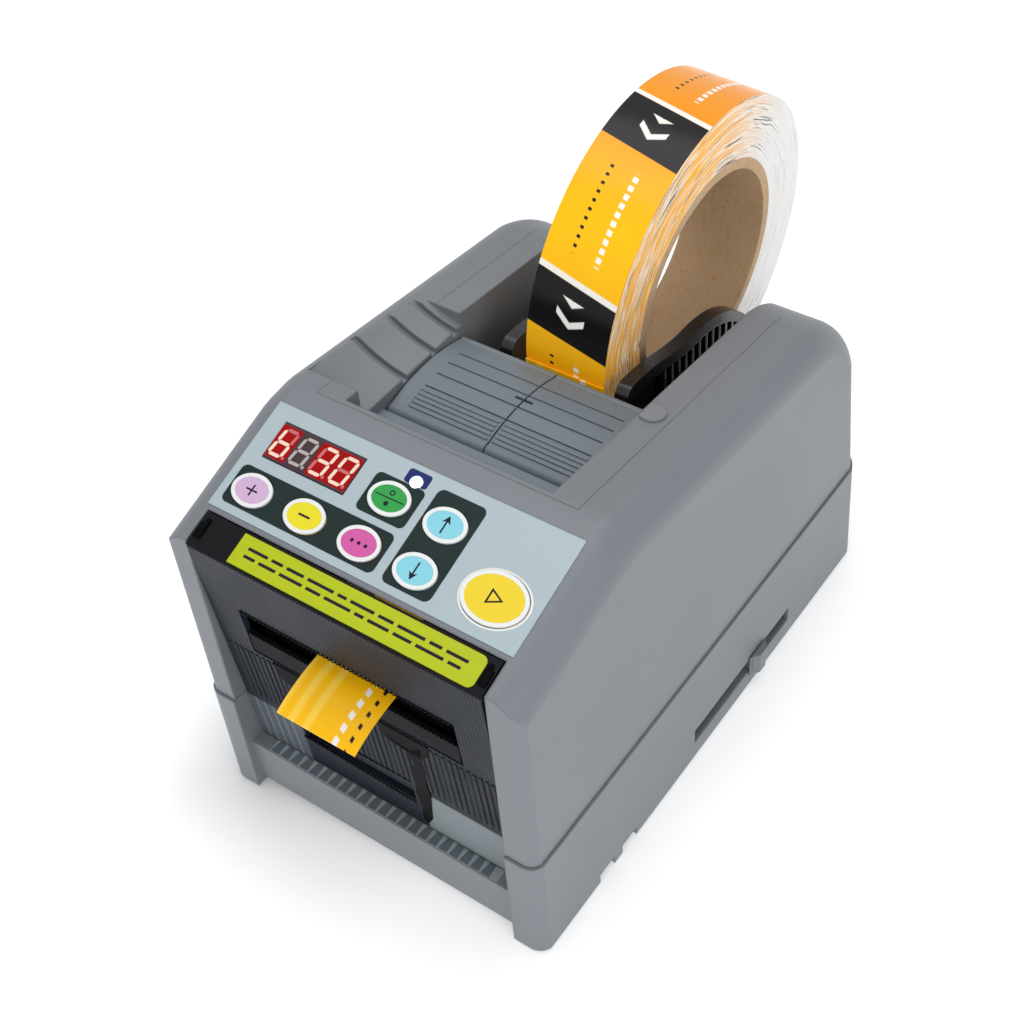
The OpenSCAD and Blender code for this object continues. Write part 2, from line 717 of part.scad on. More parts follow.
comb_t = 1.6;
comb_pitch = 7;
comb_slot = 3;

module comb_panel() color([0.66, 0.68, 0.7]) seated() difference() {
    span([-front_open, comb_y, floor_top], [front_open, comb_y + comb_t, seam_z]);
    for (x = [-front_open + 6 : comb_pitch : front_open - 6])
        span([x, comb_y - past, sill_top + 1], [x + comb_slot, comb_y + comb_t + past, seam_z - 8]);
}

// Shaft holes in the mechanism plates
module plate_holes(s) {
    at(drive_y, drive_z) bar(s * plate_x - 4, s * plate_x + 4, axle_r + run_fit);
    at(drive_y, pinch_z) bar(s * plate_x - 4, s * plate_x + 4, axle_r - 1 + run_fit);
    at(turn_y, turn_z) bar(s * plate_x - 4, s * plate_x + 4, axle_r + run_fit);
}

// Bolt places of the spacers between the plates
spacer_places = [[plate_front + 8, floor_top + 12], [plate_rear - 8, floor_top + 12], [plate_rear - 12, turn_z - 26]];
spacer_r = 4;

module mech_plate(s) seated() difference() {
    across(s > 0 ? plate_x : -plate_x - plate_t, s > 0 ? plate_x + plate_t : -plate_x)
        polygon([[plate_front, floor_top], [plate_rear, floor_top], [plate_rear, plate_top],
                 [plate_front + 26, plate_top + 6], [plate_front, plate_top + 6]]);
    plate_holes(s);
    if (s > 0) at(cutter_y, cutter_z) bar(plate_x - 4, plate_x + 4, cutter_boss_r + run_fit);
    if (s < 0) at(motor_y, motor_z) bar(-plate_x - 4, -plate_x + 4, motor_boss_r + run_fit);
}

cutter_boss_r = 3.5;
motor_boss_r = 4;

module left_plate() color(steel) mech_plate(-1);
module right_plate() color(steel) mech_plate(1);
module plate_spacers() color(steel) seated()
    for (p = spacer_places) at(p[0], p[1]) bar(-plate_x, plate_x, spacer_r);

// Serrated outline of a blade in (x, z): a row of teeth on one long edge
module saw(low, high, up) {
    n = floor(2 * blade_x / tooth_p);
    x0 = -n * tooth_p / 2;
    teeth = [for (i = [0:2 * n]) [x0 + i * tooth_p / 2, (up ? high : low) + (i % 2) * (up ? 1 : -1)]];
    polygon(up ? concat([[-x0, low], [x0, low]], teeth) : concat([[-x0, high], [x0, high]], teeth));
}

// Upright plate from an outline in (x, z), from y0 backwards
module upright(y0, t) translate([0, y0 + t, 0]) rotate([90, 0, 0]) linear_extrude(t) children();

ledge = 3.5;
// Toothed apron that fills the lower part of the outlet
apron_x = outlet_w / 2 - 2 * clear;
apron_low = outlet_low + 3 * clear;
apron_top = tape_z - 2.6;
apron_t = 1.8;
bracket_w = plate_x + plate_t - blade_x + 0.2;
bracket_x = plate_x + plate_t - bracket_w / 2;

module fixed_blade() color([0.2, 0.2, 0.22]) seated() {
    top = tape_z - tape_t - clear - 0.3;
    upright(cut_y - clear - blade_t, blade_t) saw(top - 22, top - 1, true);
    span([-blade_x, cut_y - clear - ledge, top - 14], [blade_x, cut_y - clear - blade_t, top - 2]);
    on_guard() translate([0, apron_t, -front_z]) rotate([90, 0, 0]) linear_extrude(apron_t)
        polygon(concat([[apron_x, apron_low], [-apron_x, apron_low]],
                       zigzag(-apron_x, apron_x, apron_top, 1.6, 0.9)));
    on_guard() span([past - blade_x, apron_t / 2, apron_low - front_z + 1],
                    [blade_x - past, cut_d - ledge, apron_low - front_z + 3]);
    for (s = [-1, 1])
        span([s * bracket_x - bracket_w / 2, cut_y - clear - ledge, top - 14],
             [s * bracket_x + bracket_w / 2, plate_front, top - 6]);
}

module moving_blade() color(steel) seated()
    upright(cut_y, blade_t) saw(tape_z + 2.6, carrier_low + carrier_h, false);

module blade_carrier() color([0.3, 0.31, 0.33]) seated() difference() {
    union() {
        span([-blade_x, carrier_y, carrier_low], [blade_x, carrier_y + carrier_t, carrier_low + carrier_h]);
        // Rack on the rear face, in mesh with the cutter pinion
        span([rack_x - gear_t / 2, carrier_y, carrier_low],
             [rack_x + gear_t / 2, carrier_y + carrier_t, carrier_low + carrier_h + past]);
        for (i = [-2:2])
            translate([rack_x - gear_t / 2, carrier_y + carrier_t - 0.2, cutter_z + (i + 0.5) * PI * gear_m])
                rotate([0, 90, 0]) linear_extrude(gear_t)
                    polygon([[0.62 * gear_m, 0], [0.3 * gear_m, 1.9 * gear_m],
                             [-0.3 * gear_m, 1.9 * gear_m], [-0.62 * gear_m, 0]]);
    }
    for (s = [-1, 1]) translate([s * post_x, post_y, carrier_low - past])
        cylinder(h = carrier_h + 2 * past, r = post_r + run_fit);
}

rack_x = 20;
post_x = blade_x - 5;
post_y = carrier_y + carrier_t / 2;
post_low = tape_z - 20;

module guide_posts() color(steel) seated() for (s = [-1, 1]) translate([s * post_x, post_y, 0]) {
    translate([0, 0, post_low]) cylinder(h = carrier_low + carrier_h + 4 - post_low, r = post_r);
    // Foot that ties the post to the mechanism plate
    span([s > 0 ? -4 : post_x - plate_x, -3, post_low - 4],
         [s > 0 ? plate_x - post_x : 4, plate_front - post_y + 3, post_low]);
}

// Spur wheel with slim teeth, about X, with a tooth on its +Y side
module gear(n, bore, x0) {
    pr = gear_m * n / 2;
    root = pr - 1.15 * gear_m;
    tip = pr + 0.9 * gear_m;
    translate([x0, 0, 0]) rotate([90, 0, 90]) linear_extrude(gear_t) difference() {
        union() {
            circle(root + 0.05);
            for (i = [0:n - 1]) rotate(i * 360 / n)
                polygon([[root - 0.3, -0.62 * gear_m], [tip, -0.3 * gear_m],
                         [tip, 0.3 * gear_m], [root - 0.3, 0.62 * gear_m]]);
        }
        circle(bore);
    }
}

cutter_shaft_r = 1.5;

module cutter_motor() color([0.35, 0.36, 0.38]) seated() at(cutter_y, cutter_z) {
    bar(plate_x + plate_t, up_w / 2 - wall - clear, cutter_motor_r);
    bar(plate_x - 1, plate_x + plate_t, cutter_boss_r);
}

module cutter_pinion() color([0.9, 0.88, 0.8]) seated() at(cutter_y, cutter_z) {
    gear(cutter_teeth, cutter_shaft_r - 0.2, rack_x - gear_t / 2);
    bar(rack_x - gear_t, plate_x - 1 - clear / 2, cutter_shaft_r);
}

module tape_presser() color(dark) seated() {
    span([-3, cut_y - clear - ledge, tape_z + 1.5], [3, cut_y - clear, tape_z + 4]);
    span([-3, cut_y - clear - ledge, tape_z + 4], [3, cut_y - clear - ledge + 2, outlet_top + 6]);
    span([-plate_x, cut_y - clear - ledge, outlet_top + 6], [plate_x, cut_y - clear - ledge + 2, outlet_top + 10]);
    for (s = [-1, 1])
        span([s * (plate_x + plate_t / 2) - plate_t / 2, cut_y - clear - ledge, outlet_top + 6],
             [s * (plate_x + plate_t / 2) + plate_t / 2, plate_front, outlet_top + 10]);
}

end_gap = 0.5;

module drive_shaft() color(steel) seated() at(drive_y, drive_z)
    bar(-plate_x - plate_t - gear_t - 3, plate_x + plate_t + 3, axle_r);

module drive_tyres() color([0.85, 0.85, 0.82]) seated() at(drive_y, drive_z)
    for (i = [-1.5 : 1.5]) translate([i * tyre_p, 0, 0]) difference() {
        bar(-tyre_l / 2, tyre_l / 2, tyre_r);
        bar(-tyre_l, tyre_l, axle_r);
    }

module drive_gear() color([0.92, 0.9, 0.84]) seated() at(drive_y, drive_z)
    gear(drive_teeth, axle_r, -plate_x - plate_t - gear_t - 1);

module feed_motor() color([0.5, 0.51, 0.53]) seated() at(motor_y, motor_z) {
    bar(-plate_x, -plate_x + feed_motor_l, feed_motor_r);
    bar(-plate_x - plate_t, -plate_x, motor_boss_r);
}

// Turn that brings a pinion tooth gap opposite a drive gear tooth
mesh_tooth = round(gear_dir * drive_teeth / 360) * 360 / drive_teeth;
mesh_turn = 180 + gear_dir + (gear_dir - mesh_tooth) * drive_teeth / pinion_teeth + 180 / pinion_teeth;

module motor_pinion() color([0.85, 0.7, 0.35]) seated() at(motor_y, motor_z) rotate([mesh_turn, 0, 0]) {
    gear(pinion_teeth, cutter_shaft_r - 0.2, -plate_x - plate_t - gear_t - 1);
    bar(-plate_x - plate_t - gear_t - 1, -plate_x - plate_t - clear / 2, cutter_shaft_r);
}

module pinch_roller() color([0.2, 0.2, 0.2]) seated() at(drive_y, pinch_z) {
    bar(-plate_x + end_gap, plate_x - end_gap, pinch_r);
    bar(-plate_x - plate_t - 1, plate_x + plate_t + 1, axle_r - 1);
}

module turn_roller() color([0.8, 0.8, 0.78]) seated() at(turn_y, turn_z) {
    bar(-plate_x + end_gap, plate_x - end_gap, turn_r);
    bar(-plate_x - plate_t - 1, plate_x + plate_t + 1, axle_r);
}

// Side view of the feed cover, with its hinge barrel and rear lip
lip_r = 1.6;

module cover_side() {
    c = [cover_y, cover_z - cover_r];
    hinge_a = -asin(cover_front / cover_r);
    lip_a = asin(cover_rear / cover_r);
    difference() {
        intersection() {
            translate(c) circle(cover_r);
            translate([cover_hinge_y, cover_z - 20]) square([cover_front + cover_rear, 30]);
        }
        translate(c) circle(cover_r - cover_t);
    }
    translate(c + (cover_r - cover_t / 2) * [sin(lip_a), cos(lip_a)]) circle(lip_r);
    translate([cover_hinge_y, cover_hinge_z]) circle(cover_pin_r + barrel_t);
}

seam_half = 0.3;

// Length of the ridged front, half width of the relief, and a place on the arch behind the hinge
ridge_l = 11;
relief_x = channel_w / 2 - 7;
module on_arch(l) translate([cover_y, cover_z - cover_r])
    rotate(90 + asin(cover_front / cover_r) - l / cover_r * 180 / PI) translate([cover_r, 0]) children();

module cover_half(s) color(grey * 0.95) seated() difference() {
    union() {
        across(s > 0 ? seam_half : -channel_w / 2 + cover_gap, s > 0 ? channel_w / 2 - cover_gap : -seam_half)
            cover_side();
        across(s > 0 ? 1 : -relief_x, s > 0 ? relief_x : -1)
            for (i = [1:cover_ribs]) on_arch(ridge_l * i / (cover_ribs + 1))
                translate([-0.4, -0.5]) square([0.8, 1]);
    }
    at(cover_hinge_y, cover_hinge_z) bar(-channel_w, channel_w, cover_pin_r);
    // Grooves between the planks, and a cross slot at the middle
    across(s > 0 ? -1 : -relief_x, s > 0 ? relief_x : 1)
        for (i = [0:3]) on_arch(ridge_l + i * plank_l) translate([-0.6, -0.35]) square([2, 0.7]);
    across(-3.5, 3.5) on_arch(ridge_l + 1.6 * plank_l) translate([-4, -0.6]) square([6, 1.2]);
}

module cover_left() cover_half(-1);
module cover_right() cover_half(1);
module cover_pin() color(steel) seated() at(cover_hinge_y, cover_hinge_z)
    bar(-channel_w / 2 - wall, channel_w / 2 + wall, cover_pin_r);

// Ridged plate in front of the cover, stepped down towards the channel's front wall
feed_steps = 4;

module feed_plate() color(grey * 0.92) seated() {
    step = feed_l / feed_steps;
    top = cover_edge_z - 0.1;
    across(-channel_w / 2, channel_w / 2)
        polygon(concat([[channel_y + feed_l, top - 9], [channel_y, top - 9]],
                [for (i = [0:feed_steps - 1], e = [0, 1])
                    [channel_y + (i + e) * step, top - (feed_steps - 1 - i) * 1.5]]));
}

tab_r = 4.6;
tab_y = cover_y + 11;

module cover_tab() color(grey * 1.05) seated() at(tab_y, crest_z - tan(rear_slope) * (tab_y - crest_y))
    rotate([-rear_slope, 0, 0]) intersection() {
        translate([channel_w / 2 + 3.6, 0, 0]) cylinder(h = 0.9, r = tab_r);
        span([channel_w / 2 + 1, -tab_r, 0], [channel_w, tab_r, 2]);
    }

module roll_well() color([0.36, 0.39, 0.44]) seated() {
    half = channel_w / 2;
    difference() {
        union() {
            for (s = [-1, 1])
                across(s * (half + well_t / 2) - well_t / 2, s * (half + well_t / 2) + well_t / 2)
                    polygon([[well_front, well_low], [well_rear_at(well_low), well_low],
                             [well_rear, well_split], [well_front, well_split]]);
            span([-half - well_t, well_front, well_low],
                 [half + well_t, well_rear_at(well_low + well_t), well_low + well_t]);
            // Legs down to the base floor
            for (sx = [-1, 1], y = [well_front + 4, well_rear - 24])
                span([sx * (half - 3) - 4, y, floor_top], [sx * (half - 3) + 4, y + 6, well_low]);
        }
        for (c = [cradle_front, cradle_rear]) at(c[0], c[1]) bar(-half - well_t - past, half + well_t + past, shaft_r);
        for (c = rods) at(c[0], c[1]) bar(-half - well_t - past, half + well_t + past, rod_r);
    }
}

module cradle_shafts() color(steel) seated() for (c = [cradle_front, cradle_rear])
    at(c[0], c[1]) bar(-channel_w / 2 - well_t, channel_w / 2 + well_t, shaft_r);

module cradle_roller(c) color([0.2, 0.2, 0.21]) seated() at(c[0], c[1]) difference() {
    bar(-channel_w / 2 + end_gap, channel_w / 2 - end_gap, cradle_r);
    bar(-channel_w, channel_w, shaft_r + run_fit);
}

module front_cradle_roller() cradle_roller(cradle_front);
module rear_cradle_roller() cradle_roller(cradle_rear);

module guide_rods() color(steel) seated() for (c = rods)
    at(c[0], c[1]) bar(-channel_w / 2 - well_t, channel_w / 2 + well_t, rod_r);

// Sizes of a roll guide in the side view
guide_low = well_low + well_t + 1;
notch_r = cradle_r + 2;
guide_front = well_front + 0.5;
guide_rear = well_rear - clear;
// Round nose over the cover's lip, and the large round of the tail
nose_r = 5;
nose = [cover_y + cover_rear + lip_r + 4 * clear + nose_r, roll_z - 4];
tail_round = 46;
tail_c = [guide_rear - 42.6, roll_z - 51];
// Width of the smooth rim along the top of a guide, and the pitch of its ribs
guide_rim = 5;
guide_pitch = 4.6;

// Outline of a roll guide: a soft S from the nose to the tail
module guide_outline() {
    top = nose[1] + nose_r;
    fall = top - tail_c[1] - tail_round;
    translate([guide_front, guide_low]) square([guide_rear - guide_front, tail_c[1] - guide_low]);
    translate(nose) circle(nose_r);
    intersection() {
        translate(tail_c) circle(tail_round);
        translate([guide_front, guide_low]) square([guide_rear - guide_front, roof_top]);
    }
    polygon(concat([[tail_c[0], tail_c[1]], [guide_front, tail_c[1]], [guide_front, nose[1] - 18],
                    [nose[0] - nose_r, nose[1] - 12], [nose[0] - nose_r, nose[1]]],
                   [for (i = [0:10]) [nose[0] + (tail_c[0] - nose[0]) * i / 10,
                                      top - fall * (1 - cos(18 * i)) / 2]]));
}

module guide_side() difference() {
    guide_outline();
    // Open notches over the cradle rollers
    for (c = [cradle_front, cradle_rear]) translate([c[0] - notch_r, guide_low - past])
        square([2 * notch_r, c[1] + notch_r - guide_low + past]);
    for (c = rods) translate(c) circle(rod_r + run_fit);
}

module roll_guide(s) color(dark) seated() {
    near = guide_x + guide_t;
    across(s > 0 ? guide_x : -near, s > 0 ? near : -guide_x) guide_side();
    // Smooth rim and upright ribs on the outer face
    across(s > 0 ? near - 0.1 : -near - guide_rib, s > 0 ? near + guide_rib : 0.1 - near) {
        difference() {
            guide_outline();
            translate([0, -guide_rim]) guide_outline();
            translate([guide_front - 20, guide_low - past]) square([2 * body_l, tail_c[1] - guide_low + past]);
        }
        intersection() {
            translate([0, 0.2 - guide_rim]) guide_outline();
            for (y = [guide_front + 16 : guide_pitch : guide_rear - 5])
                translate([y, tail_c[1]]) square([1.6, tail_round]);
        }
    }
}

module roll_guide_left() roll_guide(-1);
module roll_guide_right() roll_guide(1);

// Frame of the leaning roll: its axis is the local X
module on_roll() at(roll_y, roll_z) rotate([0, roll_lean, 0]) children();

module tape_roll() color([0.96, 0.68, 0.08]) seated() on_roll() difference() {
    bar(-tape_w / 2, tape_w / 2, roll_r);
    bar(-tape_w, tape_w, core_r + core_t);
}

module cardboard_core() color([0.62, 0.5, 0.37]) seated() on_roll() difference() {
    bar(-tape_w / 2, tape_w / 2, core_r + core_t);
    bar(-tape_w, tape_w, core_r);
}

// Side view of the tape between the roll and the cutter
module web_side() {
    bend = turn_r + clear / 2;
    translate([cut_y + blade_t + clear, tape_z - tape_t / 2])
        square([turn_y - cut_y - blade_t - clear, tape_t]);
    translate([web_y - tape_t / 2, turn_z]) square([tape_t, roll_z - turn_z - 3]);
    intersection() {
        translate([turn_y, turn_z]) difference() {
            circle(bend + tape_t);
            circle(bend);
        }
        translate([turn_y, turn_z - 2 * turn_r]) square(2 * turn_r);
    }
}

module tape_web() color([0.96, 0.68, 0.08]) seated() across(-tape_w / 2, tape_w / 2) web_side();

// Drooping end of the tape: part of a round strip
tail_r = 57;

module tape_tail() color([0.98, 0.65, 0.08]) seated() {
    start = cut_y - clear / 2;
    across(-tape_w / 2, tape_w / 2) intersection() {
        translate([start, tape_z - tail_r]) difference() {
            circle(tail_r);
            circle(tail_r - tape_t);
        }
        translate([tail_y, tape_z - 20]) square([start - tail_y, 30]);
    }
}

module tape_sensor() color(dark) seated() {
    y = plate_front + 14;
    span([-4, y, tape_z - 12], [4, y + 8, tape_z - 1.5]);
    span([-plate_x, y + 1, tape_z - 14], [plate_x, y + 5, tape_z - 12]);
}

// How far the knob of the side slot stands out, and its half length
knob_out = 3;
knob_l = 6;

module side_slider() color(grey * 0.9) seated() {
    y = slot_y + 10;
    inner = body_w / 2 - wall - 4;
    face = body_w / 2 + clear;
    span([inner, y - 5, slot_z - slot_h / 2 + clear / 2], [face + 1, y + 5, slot_z + slot_h / 2 - clear]);
    // Knob with slanted ends on the outside
    translate([0, 0, slot_z - slot_h / 2 - 2]) linear_extrude(slot_h + 3)
        polygon([[face, y - knob_l], [body_w / 2 + knob_out, y - knob_l / 3],
                 [body_w / 2 + knob_out, y + knob_l / 3], [face, y + knob_l]]);
    span([inner - 1.5, y - 9, slot_z - slot_h / 2 + clear / 2], [inner + 0.5, y + 9, slot_z + slot_h / 2 + 2]);
}

module power_inlet() color(dark) seated() on_rear() translate([-rear_x, 0, 0]) rotate([-90, 0, 0]) {
    difference() {
        union() {
            translate([0, 0, -13]) cylinder(h = 13, r = inlet_r);
            translate([0, 0, -wall - 2]) cylinder(h = 2, r = inlet_r + 2);
        }
        translate([0, 0, -10]) cylinder(h = 11, r = inlet_bore);
    }
    translate([0, 0, -11]) cylinder(h = 9, r = 1);
}

rocker_frame = 2;
rocker_tilt = 8;
rocker_pin = 1.2;
dish_r = 17;

module rocker_bezel() color(dark) seated() on_rear() translate([rear_x, 0, 0]) difference() {
    union() {
        translate([-rocker_size[0] / 2, -14, -rocker_size[1] / 2]) cube([rocker_size[0], 14, rocker_size[1]]);
        translate([-rocker_size[0] / 2 - 1.5, 0, -rocker_size[1] / 2 - 1.5])
            cube([rocker_size[0] + 3, 1.2, rocker_size[1] + 3]);
    }
    translate([rocker_frame - rocker_size[0] / 2, -10, rocker_frame - rocker_size[1] / 2])
        cube([rocker_size[0] - 2 * rocker_frame, 12, rocker_size[1] - 2 * rocker_frame]);
    translate([0, -4, 0]) bar(-rocker_size[0] / 2 + 0.6, rocker_size[0] / 2 - 0.6, rocker_pin + run_fit);
}

module rocker() color([0.12, 0.12, 0.13]) seated() on_rear() translate([rear_x, -4, 0]) {
    w = rocker_size[0] / 2 - rocker_frame - clear;
    reach = rocker_size[1] / 2 - rocker_frame - 1.2;
    rotate([-rocker_tilt, 0, 0]) intersection() {
        across(-w, w) difference() {
            circle(reach + 0.8);
            translate([dish_r + 6.4, 0]) circle(dish_r);
        }
        span([-w, -3, -reach], [w, 7.4, reach]);
    }
    bar(-rocker_size[0] / 2 + 0.8, rocker_size[0] / 2 - 0.8, rocker_pin);
}

board_w = 60;
board_rise = 5;
board_inset = 14;
pillar_in = 4;
pillar_r = 2.5;
transformer = [26, 28, 20];
can_r = 5;
can_h = 16;

module power_board() color([0.12, 0.3, 0.2]) seated() {
    low = floor_top + board_rise;
    y0 = well_front + board_inset;
    y1 = well_rear - board_inset;
    span([-board_w / 2, y0, low], [board_w / 2, y1, low + board_t]);
    for (sx = [-1, 1], y = [y0 + pillar_in, y1 - pillar_in])
        translate([sx * (board_w / 2 - pillar_in), y, floor_top]) cylinder(h = board_rise, r = pillar_r);
    translate([6 - board_w / 2, y0 + 6, low + board_t]) cube(transformer);
    for (i = [1, 2]) translate([board_w / 2 - i * (2 * can_r + 1), y0 + 14, low + board_t])
        cylinder(h = can_h, r = can_r);
}

lower_base();
upper_housing();
rubber_feet();
base_screws();
panel_label();
display_module();
status_lens();
key_board();
key_plus();
key_minus();
key_select();
key_mode();
key_up();
key_down();
key_start();
front_guard();
guard_plate();
comb_panel();
left_plate();
right_plate();
plate_spacers();
fixed_blade();
moving_blade();
blade_carrier();
guide_posts();
cutter_motor();
cutter_pinion();
tape_presser();
drive_shaft();
drive_tyres();
drive_gear();
feed_motor();
motor_pinion();
pinch_roller();
turn_roller();
cover_left();
cover_right();
cover_pin();
feed_plate();
cover_tab();
roll_well();
cradle_shafts();
front_cradle_roller();
rear_cradle_roller();
guide_rods();
roll_guide_left();
roll_guide_right();
tape_roll();
cardboard_core();
tape_web();
tape_tail();
tape_sensor();
side_slider();
power_inlet();
rocker_bezel();
rocker();
power_board();
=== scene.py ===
# Looks of an electric tape dispenser, on the solids of its frame.
# Metres, +Z up, the front faces -Y. Shapes are sized in millimetres, and patterns in looks in metres.

import json
import math

import bmesh
import bpy
from mathutils import Matrix, Vector, geometry


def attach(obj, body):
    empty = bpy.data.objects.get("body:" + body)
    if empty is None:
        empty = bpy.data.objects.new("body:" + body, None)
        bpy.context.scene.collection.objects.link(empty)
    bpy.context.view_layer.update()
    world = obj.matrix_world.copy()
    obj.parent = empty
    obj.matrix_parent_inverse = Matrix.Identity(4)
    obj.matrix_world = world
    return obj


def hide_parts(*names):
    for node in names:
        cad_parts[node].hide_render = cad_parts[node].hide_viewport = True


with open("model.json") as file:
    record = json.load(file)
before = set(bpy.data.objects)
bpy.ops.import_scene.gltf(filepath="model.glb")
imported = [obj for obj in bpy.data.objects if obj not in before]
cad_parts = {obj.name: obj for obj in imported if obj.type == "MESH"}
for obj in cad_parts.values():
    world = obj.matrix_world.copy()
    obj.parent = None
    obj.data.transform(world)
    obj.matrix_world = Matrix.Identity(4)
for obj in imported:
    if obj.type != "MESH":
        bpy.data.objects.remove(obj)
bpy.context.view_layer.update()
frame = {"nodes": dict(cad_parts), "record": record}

MM = 0.001

# Body sizes, measured from the middle of the base
MID_Y = 14.05
FRONT_Y = -108.0
FRONT_Z = 131.7
SLOPE = math.radians(18.9)
LABEL_W = 117.5
LABEL_D = 14.7
LABEL_T = 0.4
KEY_TOP = 1.1
KEY_A = 7.5
KEY_B = 5.7
START_A = 11.1
START_B = 8.5
COLUMNS = (11.5, 33.0, 54.6, 75.9)
ROW_LOW = 9.7
ROW_HIGH = 26.4
START_PLACE = (102.8, 12.9)
LED_PLACE = (59.0, 34.8)
DISPLAY_PLACE = (6.8, 21.4)
DISPLAY_SIZE = (32.7, 13.4)
DISPLAY_TOP = 0.6
GUARD_LEAN = math.radians(4.5)
GUARD_T = 2.2
SILL_TOP = 25.0
ROLL_CENTRE = (0.0, 84.6, 135.6)
ROLL_LEAN = math.radians(3.6)


def place(x, y, z):
    """Point of the body in the object's frame, in metres."""
    return Vector((x, y - MID_Y, z)) * MM


def linear(r, g, b):
    """Screen colour, 0 to 255, as a linear colour."""
    out = []
    for c in (r, g, b):
        c = c / 255
        out.append(c / 12.92 if c <= 0.04045 else ((c + 0.055) / 1.055) ** 2.4)
    return (*out, 1.0)


# Frame of the panel: U to the right, V up the slope, N out of it
PANEL = Matrix.Translation(
    place(-LABEL_W / 2, FRONT_Y + LABEL_D * math.cos(SLOPE), FRONT_Z + LABEL_D * math.sin(SLOPE))
) @ Matrix.Rotation(SLOPE, 4, "X")

# Frame of the guard's strip: U from the middle, V up the slope from the front edge
STRIP = Matrix.Translation(place(0, FRONT_Y, FRONT_Z)) @ Matrix.Rotation(SLOPE, 4, "X")

# Frame of the guard's leaning plate: U from the middle, V up from the panel's front edge, N out of it
PLATE = (
    Matrix.Translation(place(0, FRONT_Y, FRONT_Z))
    @ Matrix.Rotation(GUARD_LEAN, 4, "X")
    @ Matrix.Rotation(math.radians(90), 4, "X")
)

# Frame of the sill's top: U from the middle, V backwards, N up
SILL = Matrix.Translation(place(0, FRONT_Y, SILL_TOP))


# Node helpers
class Nodes:
    """Small wrapper that adds nodes to one new material, or to the owner that is given."""

    def __init__(self, name, owner=None):
        self.owner = bpy.data.materials.new(name) if owner is None else owner
        self.owner.use_nodes = True
        self.tree = self.owner.node_tree
        self.tree.nodes.clear()

    def add(self, kind, **settings):
        node = self.tree.nodes.new(kind)
        for key, value in settings.items():
            setattr(node, key, value)
        return node

    def put(self, socket, value):
        if isinstance(value, bpy.types.NodeSocket):
            self.tree.links.new(value, socket)
        else:
            socket.default_value = value

    def math(self, operation, a, b=0.0):
        node = self.add("ShaderNodeMath", operation=operation)
        self.put(node.inputs[0], a)
        self.put(node.inputs[1], b)
        return node.outputs[0]

    def times(self, a, b):
        return self.math("MULTIPLY", a, b)

    def repeat(self, value, rate):
        """Sawtooth from 0 to 1 that repeats along a value."""
        return self.math("FRACT", self.times(value, rate))

    def hypot(self, a, b):
        return self.math("SQRT", self.math("ADD", self.times(a, a), self.times(b, b)))

    def dot(self, a, direction):
        node = self.add("ShaderNodeVectorMath", operation="DOT_PRODUCT")
        self.put(node.inputs[0], a)
        node.inputs[1].default_value = direction
        return node.outputs["Value"]

    def coords(self):
        return self.add("ShaderNodeTexCoord").outputs["Object"]

    def axes(self):
        """The object's x, y and z."""
        node = self.add("ShaderNodeSeparateXYZ")
        self.put(node.inputs[0], self.coords())
        return node.outputs

    def stretch(self, vector, scale):
        node = self.add("ShaderNodeVectorMath", operation="MULTIPLY")
        self.put(node.inputs[0], vector)
        node.inputs[1].default_value = scale
        return node.outputs[0]

    def noise(self, scale, detail=3.0, vector=None, roughness=0.55):
        node = self.add("ShaderNodeTexNoise")
        self.put(node.inputs["Vector"], vector if vector is not None else self.coords())
        node.inputs["Scale"].default_value = scale
        node.inputs["Detail"].default_value = detail
        node.inputs["Roughness"].default_value = roughness
        return node.outputs["Fac"]

    def mix(self, factor, a, b):
        node = self.add("ShaderNodeMix", data_type="RGBA")
        self.put(node.inputs[0], factor)
        self.put(node.inputs[6], a)
        self.put(node.inputs[7], b)
        return node.outputs[2]

    def ramp(self, value, low, high, out_low=0.0, out_high=1.0):
        node = self.add("ShaderNodeMapRange")
        for socket, v in zip(node.inputs, (value, low, high, out_low, out_high)):
            self.put(socket, v)
        return node.outputs[0]

    def band(self, value, low, high, soft):
        """1 between low and high, with soft edges."""
        rise = self.ramp(value, low - soft, low + soft)
        fall = self.ramp(value, high - soft, high + soft)
        return self.math("SUBTRACT", rise, fall)

    def bump(self, height, distance, strength, normal):
        node = self.add("ShaderNodeBump")
        node.inputs["Distance"].default_value = distance
        node.inputs["Strength"].default_value = strength
        self.put(node.inputs["Height"], height)
        self.put(node.inputs["Normal"], normal)
        return node.outputs[0]

    def bevel(self, radius):
        node = self.add("ShaderNodeBevel", samples=6)
        node.inputs["Radius"].default_value = radius
        return node.outputs[0]

    def shader(self, colour, rough, normal, metal=0.0, glow=0.0, gloss=0.5):
        node = self.add("ShaderNodeBsdfPrincipled")
        self.put(node.inputs["Base Color"], colour)
        self.put(node.inputs["Roughness"], rough)
        self.put(node.inputs["Normal"], normal)
        node.inputs["Metallic"].default_value = metal
        node.inputs["Specular IOR Level"].default_value = gloss
        if glow:
            self.put(node.inputs["Emission Color"], colour)
            node.inputs["Emission Strength"].default_value = glow
        return node.outputs[0]

    def blend(self, factor, a, b):
        """Mix of two shaders."""
        node = self.add("ShaderNodeMixShader")
        for socket, value in zip(node.inputs, (factor, a, b)):
            self.put(socket, value)
        return node.outputs[0]

    def done(self, surface, kind="ShaderNodeOutputMaterial"):
        self.put(self.add(kind).inputs["Surface"], surface)
        return self.owner


def shade(colour, factor):
    return (colour[0] * factor, colour[1] * factor, colour[2] * factor, 1.0)


